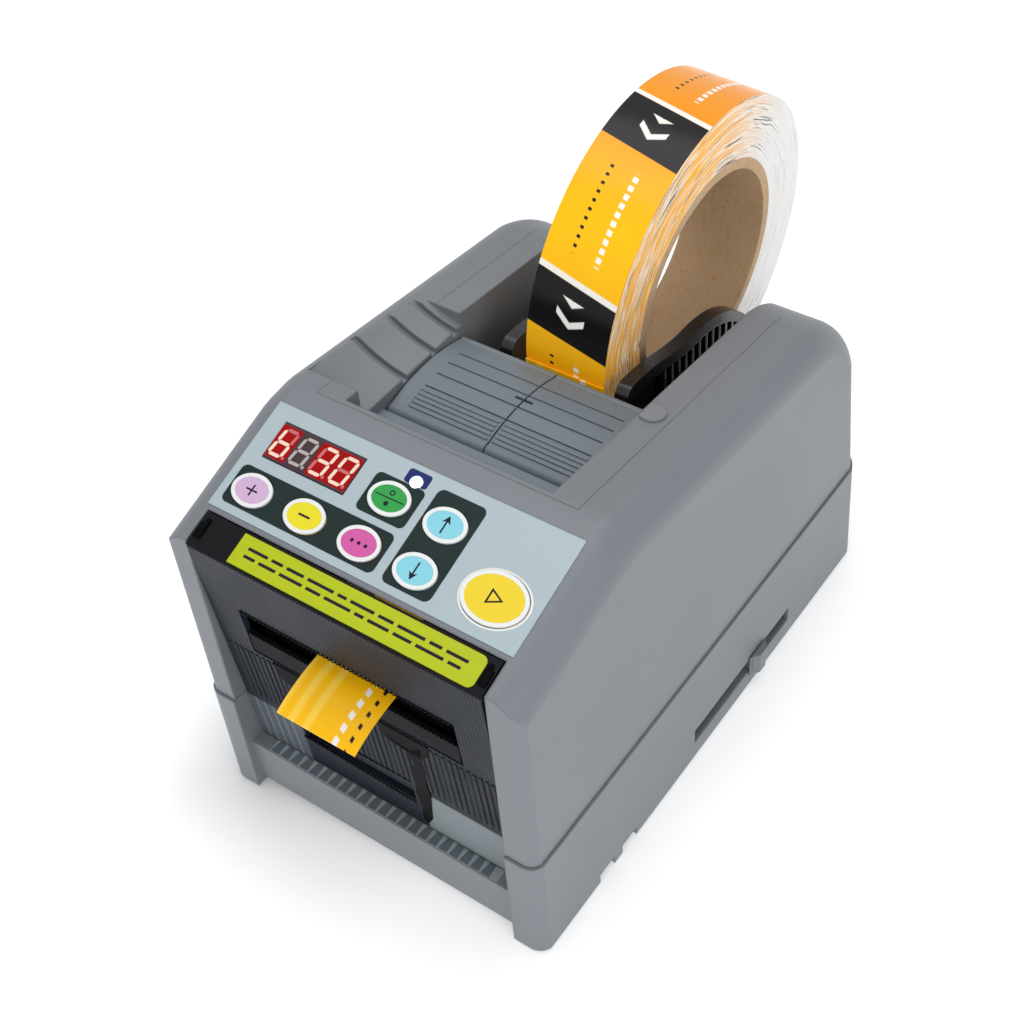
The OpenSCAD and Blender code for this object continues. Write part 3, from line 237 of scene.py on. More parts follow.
def plastic(name, colour, rough=0.45, grain=2600.0, depth=0.00003, edge=0.0005, spread=0.05, gloss=0.5):
    """Moulded plastic: fine grain, faint blotches and soft edges."""
    n = Nodes(name)
    fine = n.noise(grain, 2.0)
    broad = n.noise(38.0, 3.0)
    base = n.mix(broad, shade(colour, 1 - spread), shade(colour, 1 + spread))
    base = n.mix(n.ramp(fine, 0.35, 0.7, 0.0, 0.12), base, shade(colour, 0.86))
    normal = n.bump(fine, depth, 0.35, n.bevel(edge))
    roughness = n.ramp(broad, 0.3, 0.7, rough - 0.05, rough + 0.06)
    return n.done(n.shader(base, roughness, normal, gloss=gloss))


def metal(name, colour, rough=0.3, along=(40.0, 900.0, 900.0)):
    """Ground or plated metal with fine lines along one direction."""
    n = Nodes(name)
    lines = n.noise(1.0, 3.0, n.stretch(n.coords(), along))
    base = n.mix(lines, shade(colour, 0.86), shade(colour, 1.1))
    normal = n.bump(lines, 0.00002, 0.3, n.bevel(0.0003))
    roughness = n.ramp(lines, 0.2, 0.8, rough - 0.08, rough + 0.1)
    return n.done(n.shader(base, roughness, normal, metal=1.0))


def rubber(name, colour, rough=0.75):
    """Matt rubber with small pale and dark specks."""
    n = Nodes(name)
    speck = n.noise(1800.0, 4.0)
    base = n.mix(speck, shade(colour, 0.8), shade(colour, 1.25))
    normal = n.bump(speck, 0.00006, 0.4, n.bevel(0.0004))
    roughness = n.ramp(speck, 0.3, 0.7, rough - 0.08, rough + 0.08)
    return n.done(n.shader(base, roughness, normal))


def film(name, colour, rough=0.35, spread=0.03, gloss=0.3):
    """Printed film: satin, with a faint emboss and an almost even colour."""
    n = Nodes(name)
    weave = n.noise(5200.0, 1.0)
    broad = n.noise(90.0, 2.0)
    base = n.mix(broad, shade(colour, 1 - spread), shade(colour, 1 + spread))
    normal = n.bump(weave, 0.00001, 0.25, n.bevel(0.0003))
    roughness = n.ramp(weave, 0.3, 0.7, rough - 0.04, rough + 0.06)
    return n.done(n.shader(base, roughness, normal, gloss=gloss))


def light(name, colour, strength):
    """Lit segment or lens with a slightly uneven glow."""
    n = Nodes(name)
    tint = n.mix(n.noise(700.0, 1.0), shade(colour, 0.9), shade(colour, 1.05))
    glow = n.add("ShaderNodeEmission")
    n.put(glow.inputs["Color"], tint)
    glow.inputs["Strength"].default_value = strength
    return n.done(glow.outputs[0])


GREY = linear(122, 127, 133)

# Joint line of the insert that frames the channel: its sides, front and width, and the slope it stays above
SEAM_X = 0.0503
SEAM_Y = -0.0615
SEAM_HALF = 0.00015
SEAM_SOFT = 0.00008
RAMP_Y = -0.06405
RAMP_Z = 0.1506
RAMP_FALL = -0.1104


def housing(name, colour, seams):
    """Grey moulded housing with fine texture, scuffs and moulded joint lines."""
    n = Nodes(name)
    fine = n.noise(2300.0, 2.0)
    broad = n.noise(24.0, 4.0)
    scuff = n.noise(1.0, 4.0, n.stretch(n.coords(), (60.0, 900.0, 500.0)))
    base = n.mix(broad, shade(colour, 0.95), shade(colour, 1.05))
    base = n.mix(n.ramp(fine, 0.35, 0.7, 0.0, 0.1), base, shade(colour, 0.88))
    base = n.mix(n.ramp(scuff, 0.68, 0.78, 0.0, 0.25), base, shade(colour, 1.18))
    normal = n.bump(fine, 0.00003, 0.35, n.bevel(0.0012))
    if seams:
        x, y, z = n.axes()
        side = n.math("ABSOLUTE", x)
        fall = n.times(n.math("SUBTRACT", y, RAMP_Y), RAMP_FALL)
        high = n.math("GREATER_THAN", z, n.math("ADD", fall, RAMP_Z))
        behind = n.math("GREATER_THAN", y, SEAM_Y)
        within = n.math("LESS_THAN", side, SEAM_X)
        long_line = n.times(n.band(side, SEAM_X - SEAM_HALF, SEAM_X + SEAM_HALF, SEAM_SOFT), behind)
        cross_line = n.times(n.band(y, SEAM_Y - SEAM_HALF, SEAM_Y + SEAM_HALF, SEAM_SOFT), within)
        groove = n.times(n.math("MAXIMUM", long_line, cross_line), high)
        base = n.mix(n.times(groove, 0.6), base, shade(colour, 0.3))
        normal = n.bump(groove, -0.0002, 0.6, normal)
    roughness = n.ramp(broad, 0.3, 0.7, 0.40, 0.50)
    return n.done(n.shader(base, roughness, normal))


# Guard: pitch of its ribs, foot of the strip, edge of the pale band, sides of the dark pocket
RIB_PITCH = 0.00135
STRIP_FOOT = 0.1312
BAND_EDGE = (0.0492, 0.0506)
POCKET_X = (-0.033, 0.019)
POCKET_SOFT = 0.0006
BRIGHT_LEFT = -0.036
BRIGHT_RATE = 260.0
CLEAR_TINT = (0.80, 0.84, 0.88, 1.0)


def guard(name):
    """Smoky guard: black strip on the slope, ribbed dark plate, and at its foot a partly see-through band
    painted pale as the lit comb behind it, which is painted light.
    """
    n = Nodes(name)
    x, _, z = n.axes()
    # Fine upright ribs
    wave = n.math("SINE", n.times(x, 2 * math.pi / RIB_PITCH))
    strip = n.math("GREATER_THAN", z, STRIP_FOOT)
    rib = n.times(n.ramp(wave, -0.6, 0.6), n.math("SUBTRACT", 1.0, strip))
    broad = n.noise(60.0, 3.0)
    smoke = n.mix(rib, linear(16, 19, 27), linear(40, 46, 58))
    smoke = n.mix(n.ramp(broad, 0.3, 0.7, 0.0, 0.35), smoke, linear(30, 34, 42))
    smoke = n.mix(strip, smoke, linear(16, 17, 20))
    # Pale band at the foot, left and right of the dark pocket, with a few bright lines at its left end:
    # painted light that stands in for the lit comb behind the band, darker at the left and lighter at the
    # right
    low = n.ramp(z, *BAND_EDGE, 1.0, 0.0)
    beside = n.math("SUBTRACT", 1.0, n.band(x, *POCKET_X, POCKET_SOFT))
    band = n.times(low, beside)
    bright = n.band(n.repeat(x, BRIGHT_RATE), 0.08, 0.34, 0.04)
    lines = n.times(bright, n.math("LESS_THAN", x, BRIGHT_LEFT))
    ground = n.mix(n.ramp(x, -0.03, 0.02), linear(98, 106, 114), linear(152, 162, 166))
    pale = n.mix(lines, ground, linear(132, 140, 144))
    smoke = n.mix(band, smoke, pale)
    normal = n.bump(rib, 0.0002, 0.5, n.bevel(0.0004))
    solid = n.shader(smoke, n.ramp(broad, 0.3, 0.7, 0.34, 0.46), normal, gloss=0.12)
    clear = n.add("ShaderNodeBsdfTransparent")
    clear.inputs["Color"].default_value = CLEAR_TINT
    return n.done(n.blend(n.ramp(band, 0.0, 1.0, 0.985, 0.75), clear.outputs[0], solid))


AMBER = linear(255, 192, 12)
AMBER_DEEP = linear(246, 160, 18)
ORANGE = linear(242, 150, 14)
PAPER = linear(244, 240, 232)
INK = linear(16, 14, 15)


# Print of the roll: repeats in one turn, where it starts, its slant, and its marks as parts of a repeat
REPEATS = 6
PRINT_START = 5.485
PRINT_SLANT = -2.4
PRINT_SOFT = 0.002
BLOCK = (0.05, 0.345)
BLOCK_BAR = (0.02, 0.05)
CHEVRONS = (0.12, 0.27)
CHEVRON_X = (-0.0055, 0.0055)
CHEVRON_RATE = 9.0
DASHED = (0.44, 0.92)
DASH_RATE = 22.0
DASH_PALE_X = (0.0035, 0.0055)
DASH_DARK_X = (-0.0060, -0.0046)
LANE_SOFT = 0.0001
# Glow of the tape's film: painted light, as the film is no lamp
FILM_PAINTED_GLOW = 0.16
FILM_GLOSS = 0.25


def tape_roll(name):
    """Wound tape: glossy printed film outside, edges of the turns on the flat faces."""
    n = Nodes(name)
    at = n.add("ShaderNodeVectorMath", operation="SUBTRACT")
    n.put(at.inputs[0], n.coords())
    at.inputs[1].default_value = place(*ROLL_CENTRE)
    local = at.outputs[0]
    axis = (math.cos(ROLL_LEAN), 0.0, -math.sin(ROLL_LEAN))
    up = (math.sin(ROLL_LEAN), 0.0, math.cos(ROLL_LEAN))
    across = n.dot(local, axis)
    high = n.dot(local, up)
    deep = n.dot(local, (0.0, 1.0, 0.0))
    angle = n.math("ARCTAN2", high, deep)
    far = n.hypot(high, deep)
    # Dark blocks round the turn, each with a pale bar at one end
    turn = n.times(angle, REPEATS / (2 * math.pi))
    slanted = n.math("ADD", turn, n.times(across, PRINT_SLANT))
    t = n.math("FRACT", n.math("ADD", slanted, PRINT_START))
    block = n.band(t, *BLOCK, PRINT_SOFT)
    bars = n.band(t, *BLOCK_BAR, PRINT_SOFT)
    # Pale chevrons inside the dark blocks
    fold = n.times(n.math("ABSOLUTE", across), CHEVRON_RATE)
    zig = n.repeat(n.math("ADD", t, fold), CHEVRON_RATE)
    inside = n.times(n.band(t, *CHEVRONS, PRINT_SOFT), n.band(across, *CHEVRON_X, LANE_SOFT))
    chevron = n.times(n.band(zig, 0.1, 0.42, 0.03), inside)
    # Dashes along the film between the blocks
    dash = n.repeat(t, DASH_RATE)
    row_pale = n.times(n.band(across, *DASH_PALE_X, LANE_SOFT), n.band(dash, 0.1, 0.7, 0.03))
    row_dark = n.times(n.band(across, *DASH_DARK_X, LANE_SOFT), n.band(dash, 0.2, 0.55, 0.03))
    field = n.band(t, *DASHED, PRINT_SOFT)
    # Amber where the film faces up and forward, orange elsewhere: painted light and shade on the film
    painted_light_side = n.math("DIVIDE", n.dot(local, (0.5 * up[0], -0.866, 0.5 * up[2])), far)
    warm = n.mix(n.ramp(painted_light_side, 0.70, 0.97), ORANGE, AMBER)
    wear = n.noise(120.0, 3.0)
    printed = n.mix(n.ramp(wear, 0.3, 0.7, 0.0, 0.12), warm, AMBER_DEEP)
    printed = n.mix(n.times(row_pale, field), printed, PAPER)
    printed = n.mix(n.times(row_dark, field), printed, shade(INK, 1.6))
    printed = n.mix(block, printed, INK)
    printed = n.mix(bars, printed, PAPER)
    printed = n.mix(chevron, printed, PAPER)
    # Edges of the turns: streaks along the turns, amber in front and paper white behind
    wobble = n.times(n.noise(70.0, 2.0), 0.0022)
    swirl = n.add("ShaderNodeCombineXYZ")
    n.put(swirl.inputs[0], n.times(n.math("ADD", far, wobble), 1100.0))
    n.put(swirl.inputs[1], n.times(angle, 1.7))
    ring = n.noise(1.0, 2.5, swirl.outputs[0], 0.6)
    behind = n.math("DIVIDE", deep, far)
    ground = n.mix(n.ramp(behind, -0.1, 0.7), linear(250, 178, 40), linear(226, 222, 218))
    edge = n.mix(n.ramp(ring, 0.50, 0.56), ground, PAPER)
    edge = n.mix(n.ramp(ring, 0.59, 0.62, 0.0, 0.92), edge, linear(40, 34, 32))
    edge = n.mix(n.ramp(ring, 0.38, 0.34, 0.0, 0.7), edge, linear(214, 150, 96))
    edge = n.mix(n.ramp(behind, 0.45, 0.85, 0.0, 0.75), edge, linear(236, 235, 234))
    facing = n.math("ABSOLUTE", n.dot(n.add("ShaderNodeNewGeometry").outputs["Normal"], axis))
    flat = n.math("GREATER_THAN", facing, 0.6)
    colour = n.mix(flat, printed, edge)
    rough = n.ramp(flat, 0.0, 1.0, 0.22, 0.6)
    normal = n.bump(n.times(ring, flat), 0.0003, 0.6, n.bevel(0.0003))
    # The film's glow is painted light
    return n.done(n.shader(colour, rough, normal, glow=FILM_PAINTED_GLOW, gloss=FILM_GLOSS))


# Print of the flat film: rate of its lanes, and its dashes' lanes, rate and slant
LANE_RATE = 170.0
STEP_RATE = 230.0
STEP_SLANT = 0.35
STEP_PALE_X = (0.0065, 0.0085)
STEP_DARK_X = (0.0115, 0.0128)


def tape_flat(name):
    """Single length of printed film: amber with paler lanes and two rows of dashes."""
    n = Nodes(name)
    x, y, _ = n.axes()
    left = n.ramp(x, -0.001, 0.0005, 1.0, 0.0)
    pale = n.times(n.band(n.repeat(x, LANE_RATE), 0.1, 0.55, 0.12), left)
    base = n.mix(n.noise(140.0, 3.0), shade(AMBER, 0.92), shade(AMBER, 1.05))
    base = n.mix(n.times(pale, 0.55), base, linear(255, 222, 96))
    step = n.repeat(n.math("ADD", y, n.times(x, STEP_SLANT)), STEP_RATE)
    dash_pale = n.times(n.band(x, *STEP_PALE_X, LANE_SOFT), n.band(step, 0.15, 0.7, 0.04))
    dash_dark = n.times(n.band(x, *STEP_DARK_X, LANE_SOFT), n.band(step, 0.2, 0.6, 0.04))
    base = n.mix(dash_pale, base, PAPER)
    base = n.mix(dash_dark, base, shade(INK, 1.6))
    normal = n.bump(n.noise(60.0, 2.0), 0.0006, 0.2, n.bevel(0.0002))
    roughness = n.ramp(n.noise(400.0), 0.3, 0.7, 0.3, 0.42)
    # The film's glow is painted light
    return n.done(n.shader(base, roughness, normal, glow=FILM_PAINTED_GLOW, gloss=FILM_GLOSS))


def cardboard(name):
    """Rolled grey-brown card: fibres, blotches and dark specks."""
    n = Nodes(name)
    fibre = n.noise(1.0, 5.0, n.stretch(n.coords(), (900.0, 240.0, 240.0)))
    speck = n.noise(900.0, 3.0)
    blotch = n.noise(70.0, 4.0)
    base = n.mix(blotch, linear(190, 153, 114), linear(212, 176, 134))
    base = n.mix(n.ramp(fibre, 0.3, 0.75, 0.0, 0.5), base, linear(212, 186, 154))
    base = n.mix(n.ramp(speck, 0.62, 0.75, 0.0, 0.7), base, linear(120, 92, 66))
    normal = n.bump(fibre, 0.0002, 0.5, n.bevel(0.0004))
    return n.done(n.shader(base, n.ramp(speck, 0.3, 0.7, 0.78, 0.92), normal))


def board(name):
    """Circuit board with darker and lighter green areas."""
    n = Nodes(name)
    tracks = n.noise(420.0, 1.0)
    base = n.mix(n.ramp(tracks, 0.48, 0.52), linear(14, 70, 42), linear(24, 104, 62))
    return n.done(n.shader(base, n.ramp(tracks, 0.3, 0.7, 0.3, 0.42), n.bevel(0.0003)))


def lime_plate(name):
    """Lime plate: gloss print with faint streaks."""
    n = Nodes(name)
    streak = n.noise(1.0, 3.0, n.stretch(n.coords(), (60.0, 500.0, 500.0)))
    lime = linear(188, 201, 28)
    base = n.mix(streak, shade(lime, 0.94), shade(lime, 1.05))
    return n.done(n.shader(base, n.ramp(streak, 0.3, 0.7, 0.26, 0.38), n.bevel(0.0003), gloss=0.2))


LOOKS = {
    "base_grey": housing("base_grey", GREY, False),
    "housing_grey": housing("housing_grey", GREY, True),
    "foot_rubber": rubber("foot_rubber", linear(30, 30, 31)),
    "screw_steel": metal("screw_steel", linear(186, 188, 192)),
    "label_silver": film("label_silver", linear(178, 194, 199), 0.32),
    "display_red": plastic("display_red", linear(64, 34, 44), 0.16, 300.0, 0.00001, 0.0003),
    "lens_blue": light("lens_blue", (0.72, 0.86, 1.0, 1.0), 2.2),
    "board_green": board("board_green"),
    "key_lilac": film("key_lilac", linear(217, 182, 216)),
    "key_yellow": film("key_yellow", linear(240, 226, 34)),
    "key_magenta": film("key_magenta", linear(216, 92, 168)),
    "key_green": film("key_green", linear(40, 160, 70)),
    "key_cyan": film("key_cyan", linear(140, 216, 232)),
    "key_amber": film("key_amber", linear(247, 216, 38)),
    "guard_smoke": guard("guard_smoke"),
    "plate_lime": lime_plate("plate_lime"),
    "comb_grey": plastic("comb_grey", linear(126, 132, 138), 0.4),
    "plate_steel": metal("plate_steel", linear(176, 180, 186), 0.34),
    "blade_dark": plastic("blade_dark", linear(18, 19, 23), 0.45, 900.0, gloss=0.05),
    "blade_steel": metal("blade_steel", linear(190, 193, 198), 0.25),
    "carrier_dark": plastic("carrier_dark", linear(58, 60, 64), 0.5),
    "shaft_steel": metal("shaft_steel", linear(190, 192, 196), 0.22),
    "motor_grey": metal("motor_grey", linear(130, 133, 138), 0.4),
    "gear_ivory": plastic("gear_ivory", linear(226, 220, 200), 0.4),
    "black_plastic": plastic("black_plastic", linear(22, 22, 25), 0.4, gloss=0.25),
    "tyre_silicone": rubber("tyre_silicone", linear(206, 206, 198), 0.6),
    "pinion_brass": metal("pinion_brass", linear(204, 166, 88), 0.3),
    "roller_black": rubber("roller_black", linear(36, 36, 38), 0.6),
    "roller_white": plastic("roller_white", linear(206, 206, 200), 0.4),
    "cover_grey": plastic("cover_grey", linear(115, 125, 133), 0.42),
    "feed_grey": plastic("feed_grey", linear(118, 129, 137), 0.42),
    "tab_grey": plastic("tab_grey", linear(128, 132, 138), 0.42),
    "well_grey": plastic("well_grey", linear(66, 75, 91), 0.45),
    "guide_black": plastic("guide_black", linear(24, 24, 27), 0.24, 1200.0),
    "tape_amber": tape_roll("tape_amber"),
    "core_card": cardboard("core_card"),
    "web_amber": tape_flat("web_amber"),
    "tail_amber": tape_flat("tail_amber"),
    "slider_grey": plastic("slider_grey", linear(120, 125, 131), 0.45),
    "bezel_black": plastic("bezel_black", linear(24, 24, 26), 0.3),
    "rocker_black": plastic("rocker_black", linear(28, 28, 31), 0.25),
}

for part in frame["record"]["subparts"]:
    holder = frame["nodes"][part["node"]].data.materials
    holder.clear()
    holder.append(LOOKS[part["material_slot"]])

RING_WHITE = film("ring_white", linear(243, 244, 242), 0.3, 0.02)
PAD_DARK = film("pad_dark", linear(38, 51, 50), 0.34, 0.06, 0.08)
PAD_BLUE = film("pad_blue", linear(34, 48, 106), 0.3, 0.05, 0.1)
PRINT_DARK = film("print_dark", linear(36, 36, 44), 0.35, 0.05, 0.1)
SEGMENT_LIT = light("segment_lit", linear(255, 226, 206), 1.0)
SEGMENT_PINK = film("segment_pink", linear(206, 110, 114), 0.3, 0.06)
SEGMENT_DIM = film("segment_dim", linear(188, 178, 172), 0.3, 0.06)
CELL_RED = light("cell_red", linear(176, 26, 26), 0.95)
CELL_DARK = film("cell_dark", linear(66, 46, 54), 0.2, 0.08)
SLATE = plastic("slate", linear(60, 63, 72), 0.4, 900.0, gloss=0.1)
BAR_PALE = film("bar_pale", linear(158, 166, 170), 0.35, 0.05, 0.15)
BAR_DARK = film("bar_dark", linear(104, 114, 122), 0.35, 0.05, 0.15)
BLACK_TRIM = plastic("black_trim", linear(12, 12, 15), 0.42, 1400.0, 0.00002, 0.0002, gloss=0.03)


# Mesh helpers
def arc(u, v, r, start, steps):
    """Quarter of a circle from a start angle in degrees."""
    angles = [math.radians(start + 90 * i / steps) for i in range(steps + 1)]
    return [(u + r * math.cos(a), v + r * math.sin(a)) for a in angles]


def rect(u0, v0, u1, v1, r=0.0, steps=6):
    """Rectangle outline with round corners."""
    if r == 0:
        return [(u0, v0), (u1, v0), (u1, v1), (u0, v1)]
    points = arc(u1 - r, v0 + r, r, -90, steps)
    points += arc(u1 - r, v1 - r, r, 0, steps)
    points += arc(u0 + r, v1 - r, r, 90, steps)
    points += arc(u0 + r, v0 + r, r, 180, steps)
    return points


def oval(centre, a, b, steps=56):
    turns = [2 * math.pi * i / steps for i in range(steps)]
    return [(centre[0] + a * math.cos(t), centre[1] + b * math.sin(t)) for t in turns]


def slab(name, shapes, low, high, where, body, look):
    """Piece of one or more flat outlines, each a list of an outer loop and its holes."""
    form = bmesh.new()
    for loops in shapes:
        lower = [[form.verts.new(where @ (Vector((u, v, low)) * MM)) for u, v in loop] for loop in loops]
        upper = [[form.verts.new(where @ (Vector((u, v, high)) * MM)) for u, v in loop] for loop in loops]
        flat_low = [v for loop in lower for v in loop]
        flat_high = [v for loop in upper for v in loop]
        for tri in geometry.tessellate_polygon([[Vector((u, v, 0)) for u, v in loop] for loop in loops]):
            form.faces.new([flat_high[i] for i in tri])
            form.faces.new([flat_low[i] for i in reversed(tri)])
        for a, b in zip(lower, upper):
            for i in range(len(a)):
                j = (i + 1) % len(a)
                form.faces.new((a[i], a[j], b[j], b[i]))
    bmesh.ops.recalc_face_normals(form, faces=form.faces)
    mesh = bpy.data.meshes.new(name)
    form.to_mesh(mesh)
    form.free()
    mesh.materials.append(look)
    piece = bpy.data.objects.new(name, mesh)
    bpy.context.scene.collection.objects.link(piece)
    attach(piece, body)
    return piece


# Panel print: pads with holes for the keys, each pad by its left, low, right, high and corner
GAP = 0.3
PRINT_T = 0.06
PAD_LOW = LABEL_T
PAD_HIGH = LABEL_T + PRINT_T
ROW_PAD = (2.9, 2.8, 63.8, 17.0, 2.2)
MODE_PAD = (45.5, 19.3, 64.2, 33.4, 2.0)
ARROW_PAD = (67.2, 2.6, 85.3, 36.6, 2.4)
LENS_PAD = (54.6, 33.7, 63.2, 38.6, 1.0)
LENS_R = 2.3
START_RING = (START_A + 1.1, START_B + 1.0)


def key_hole(u, v, a=KEY_A, b=KEY_B):
    return oval((u, v), a + GAP, b + GAP)


def pad(name, loops, look):
    slab(name, [loops], PAD_LOW, PAD_HIGH, PANEL, "housing", look)


row_holes = [key_hole(u, ROW_LOW) for u in COLUMNS[:3]]
arrow_holes = [key_hole(COLUMNS[3], v) for v in (ROW_LOW, ROW_HIGH)]
pad("pad_row", [rect(*ROW_PAD)] + row_holes, PAD_DARK)
pad("pad_mode", [rect(*MODE_PAD), key_hole(COLUMNS[2], ROW_HIGH)], PAD_DARK)
pad("pad_arrows", [rect(*ARROW_PAD)] + arrow_holes, PAD_DARK)
pad("pad_lens", [rect(*LENS_PAD), oval(LED_PLACE, LENS_R, LENS_R)], PAD_BLUE)
pad("start_ring", [oval(START_PLACE, *START_RING), key_hole(*START_PLACE, START_A, START_B)], RING_WHITE)

# Key faces: a white ring and a plain sign on each
RING_W = 1.25
RING_OVER = 0.06
SIGN_T = 0.05
SIGN_LOW = KEY_TOP
SIGN_HIGH = KEY_TOP + SIGN_T


def key_face(name, centre, signs, a=KEY_A, b=KEY_B):
    body = "button_" + name
    ring = [oval(centre, a + RING_OVER, b + RING_OVER), oval(centre, a - RING_W, b - RING_W)]
    slab("ring_" + name, [ring], PAD_HIGH, SIGN_HIGH, PANEL, body, RING_WHITE)
    shapes = [[[(centre[0] + u, centre[1] + v) for u, v in loop] for loop in loops] for loops in signs]
    slab("sign_" + name, shapes, SIGN_LOW, SIGN_HIGH, PANEL, body, PRINT_DARK)


# Signs by their outlines, round the middle of a key
ARROW_HEAD = ((-1.5, 0.6), (0.0, 3.2), (1.5, 0.6), (0.0, 1.3))
ARROW_STEM = ((-0.28, -3.0), (0.28, -3.0), (0.28, 1.5), (-0.28, 1.5))


def arrow(direction):
    """Arrow that points up for 1 and down for -1."""
    return [[[(u, v * direction) for u, v in loop]] for loop in (ARROW_HEAD, ARROW_STEM)]


PLUS = [[[(-2.2, -0.3), (-0.3, -0.3), (-0.3, -2.0), (0.3, -2.0), (0.3, -0.3), (2.2, -0.3),
          (2.2, 0.3), (0.3, 0.3), (0.3, 2.0), (-0.3, 2.0), (-0.3, 0.3), (-2.2, 0.3)]]]
MINUS = [[rect(-2.2, -0.35, 2.2, 0.35)]]
SELECT = [[oval((u, 0.0), 0.62, 0.62, 20)] for u in (-2.6, 0.0, 2.6)]
MODE = [
    [[(-5.4, -0.2), (5.4, 0.0), (5.4, 0.35), (-5.4, 0.15)]],
    [oval((0.0, 2.0), 0.95, 0.95, 24), oval((0.0, 2.0), 0.55, 0.55, 24)],
    [oval((0.0, -1.9), 0.8, 0.8, 24)],
]
PLAY = [[[(-2.1, -2.6), (3.2, 0.0), (-2.1, 2.6)], [(-1.5, -1.7), (2.0, 0.0), (-1.5, 1.7)]]]

key_face("plus", (COLUMNS[0], ROW_LOW), PLUS)
key_face("minus", (COLUMNS[1], ROW_LOW), MINUS)
key_face("select", (COLUMNS[2], ROW_LOW), SELECT)
key_face("mode", (COLUMNS[2], ROW_HIGH), MODE)
key_face("up", (COLUMNS[3], ROW_HIGH), arrow(1))
key_face("down", (COLUMNS[3], ROW_LOW), arrow(-1))
key_face("start", START_PLACE, PLAY, START_A, START_B)

# Display: four cells with slanted seven-segment digits and a point after each
CELL_PITCH = DISPLAY_SIZE[0] / 4
CELL_SIDE = 0.1
CELL_END = 0.7
CELL_R = 0.6
CELL_T = 0.05
CELL_HIGH = DISPLAY_TOP + CELL_T
SEGMENT_HIGH = CELL_HIGH + CELL_T
DIGIT_PLACE = (0.95, 2.0)
DIGIT_W = 4.9
DIGIT_H = 9.4
SLANT = 0.128
SEGMENT_W = 1.15
SEGMENT_GAP = 0.18
POINT_R = 0.6
POINT_AWAY = 1.0
# Segments by their low left end and whether they lie flat
SEGMENTS = {
    "a": (0.0, DIGIT_H, True),
    "g": (0.0, DIGIT_H / 2, True),
    "d": (0.0, 0.0, True),
    "f": (0.0, DIGIT_H / 2, False),
    "b": (DIGIT_W, DIGIT_H / 2, False),
    "e": (0.0, 0.0, False),
    "c": (DIGIT_W, 0.0, False),
}
DIGITS = ("cdefg", "", "abcdg", "abcdef")


def segment(key):
    """Outline of one segment, pointed at both ends."""
    u, v, flat = SEGMENTS[key]
    h = SEGMENT_W / 2
    if flat:
        a = u + SEGMENT_GAP
        b = u + DIGIT_W - SEGMENT_GAP
        return [(a, v), (a + h, v - h), (b - h, v - h), (b, v), (b - h, v + h), (a + h, v + h)]
    a = v + SEGMENT_GAP
    b = v + DIGIT_H / 2 - SEGMENT_GAP
    return [(u, a), (u + h, a + h), (u + h, b - h), (u, b), (u - h, b - h), (u - h, a + h)]


def show(name, shapes, low, high, look):
    slab(name, shapes, low, high, PANEL, "housing", look)


cells, glowing, lit, pink, dim = [], [], [], [], []
cell_low = DISPLAY_PLACE[1] + CELL_END
cell_high = DISPLAY_PLACE[1] + DISPLAY_SIZE[1] - CELL_END
for i, shown in enumerate(DIGITS):
    left = DISPLAY_PLACE[0] + i * CELL_PITCH
    cell = rect(left + CELL_SIDE, cell_low, left + CELL_PITCH - CELL_SIDE, cell_high, CELL_R, 3)
    (glowing if shown else cells).append([cell])
    unlit = pink if shown else dim
    u0 = left + DIGIT_PLACE[0]
    v0 = DISPLAY_PLACE[1] + DIGIT_PLACE[1]
    for key in SEGMENTS:
        loop = [(u0 + u + SLANT * v, v0 + v) for u, v in segment(key)]
        (lit if key in shown else unlit).append([loop])
    unlit.append([oval((u0 + DIGIT_W + POINT_AWAY, v0), POINT_R, POINT_R, 18)])
show("display_cells", cells, DISPLAY_TOP, CELL_HIGH, CELL_DARK)
show("display_glow", glowing, DISPLAY_TOP, CELL_HIGH, CELL_RED)
show("display_lit", lit, CELL_HIGH, SEGMENT_HIGH, SEGMENT_LIT)
show("display_pink", pink, CELL_HIGH, SEGMENT_HIGH, SEGMENT_PINK)
show("display_dim", dim, CELL_HIGH, SEGMENT_HIGH, SEGMENT_DIM)

# Lime plate on the strip, square at the left and round at the right, with two rows of plain ticks
PLATE_T = 0.5
LIME_LEFT = -40.2
LIME_RIGHT = 53.0
LIME_LOW = 0.9
LIME_HIGH = 11.5
LIME_R = 2.4
LIME_STEPS = 8
TICK_ROWS = ((7.6, (7, 4, 6, 9, 3, 8, 5, 9, 4, 7)), (4.9, (4, 6, 8, 5, 9, 3, 7, 6, 9, 4)))
TICK_LEFT = -36.0
TICK_UNIT = 1.12
TICK_GAP = 1.6
TICK_HALF = 0.5
TICK_T = 0.04
lime_outline = [(LIME_LEFT, LIME_HIGH), (LIME_LEFT, LIME_LOW)]
lime_outline += arc(LIME_RIGHT - LIME_R, LIME_LOW + LIME_R, LIME_R, -90, LIME_STEPS)
lime_outline += arc(LIME_RIGHT - LIME_R, LIME_HIGH - LIME_R, LIME_R, 0, LIME_STEPS)
lime_look = LOOKS["plate_lime"]
lime_face = slab("lime_face", [[lime_outline]], 0.0, PLATE_T, STRIP, "guard", lime_look)
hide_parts("guard_plate")
ticks = []
for v, lengths in TICK_ROWS:
    u = TICK_LEFT
    for length in lengths:
        ticks.append([rect(u, v - TICK_HALF, u + TICK_UNIT * length, v + TICK_HALF)])
        u += TICK_UNIT * length + TICK_GAP
slab("plate_ticks", ticks, PLATE_T, PLATE_T + TICK_T, STRIP, "guard", PRINT_DARK)

# Ears at the ends of the strip
EAR = ((53.6, 3.2), (56.2, 3.2), (56.2, 8.6), (55.0, 8.6), (55.0, 10.4), (53.6, 10.4))
EAR_T = 0.8
for name, side in (("strip_ear_left", -1), ("strip_ear_right", 1)):
    outline = [(side * u, v) for u, v in EAR]
    slab(name, [[outline]], 0.0, EAR_T, STRIP, "guard", BLACK_TRIM)


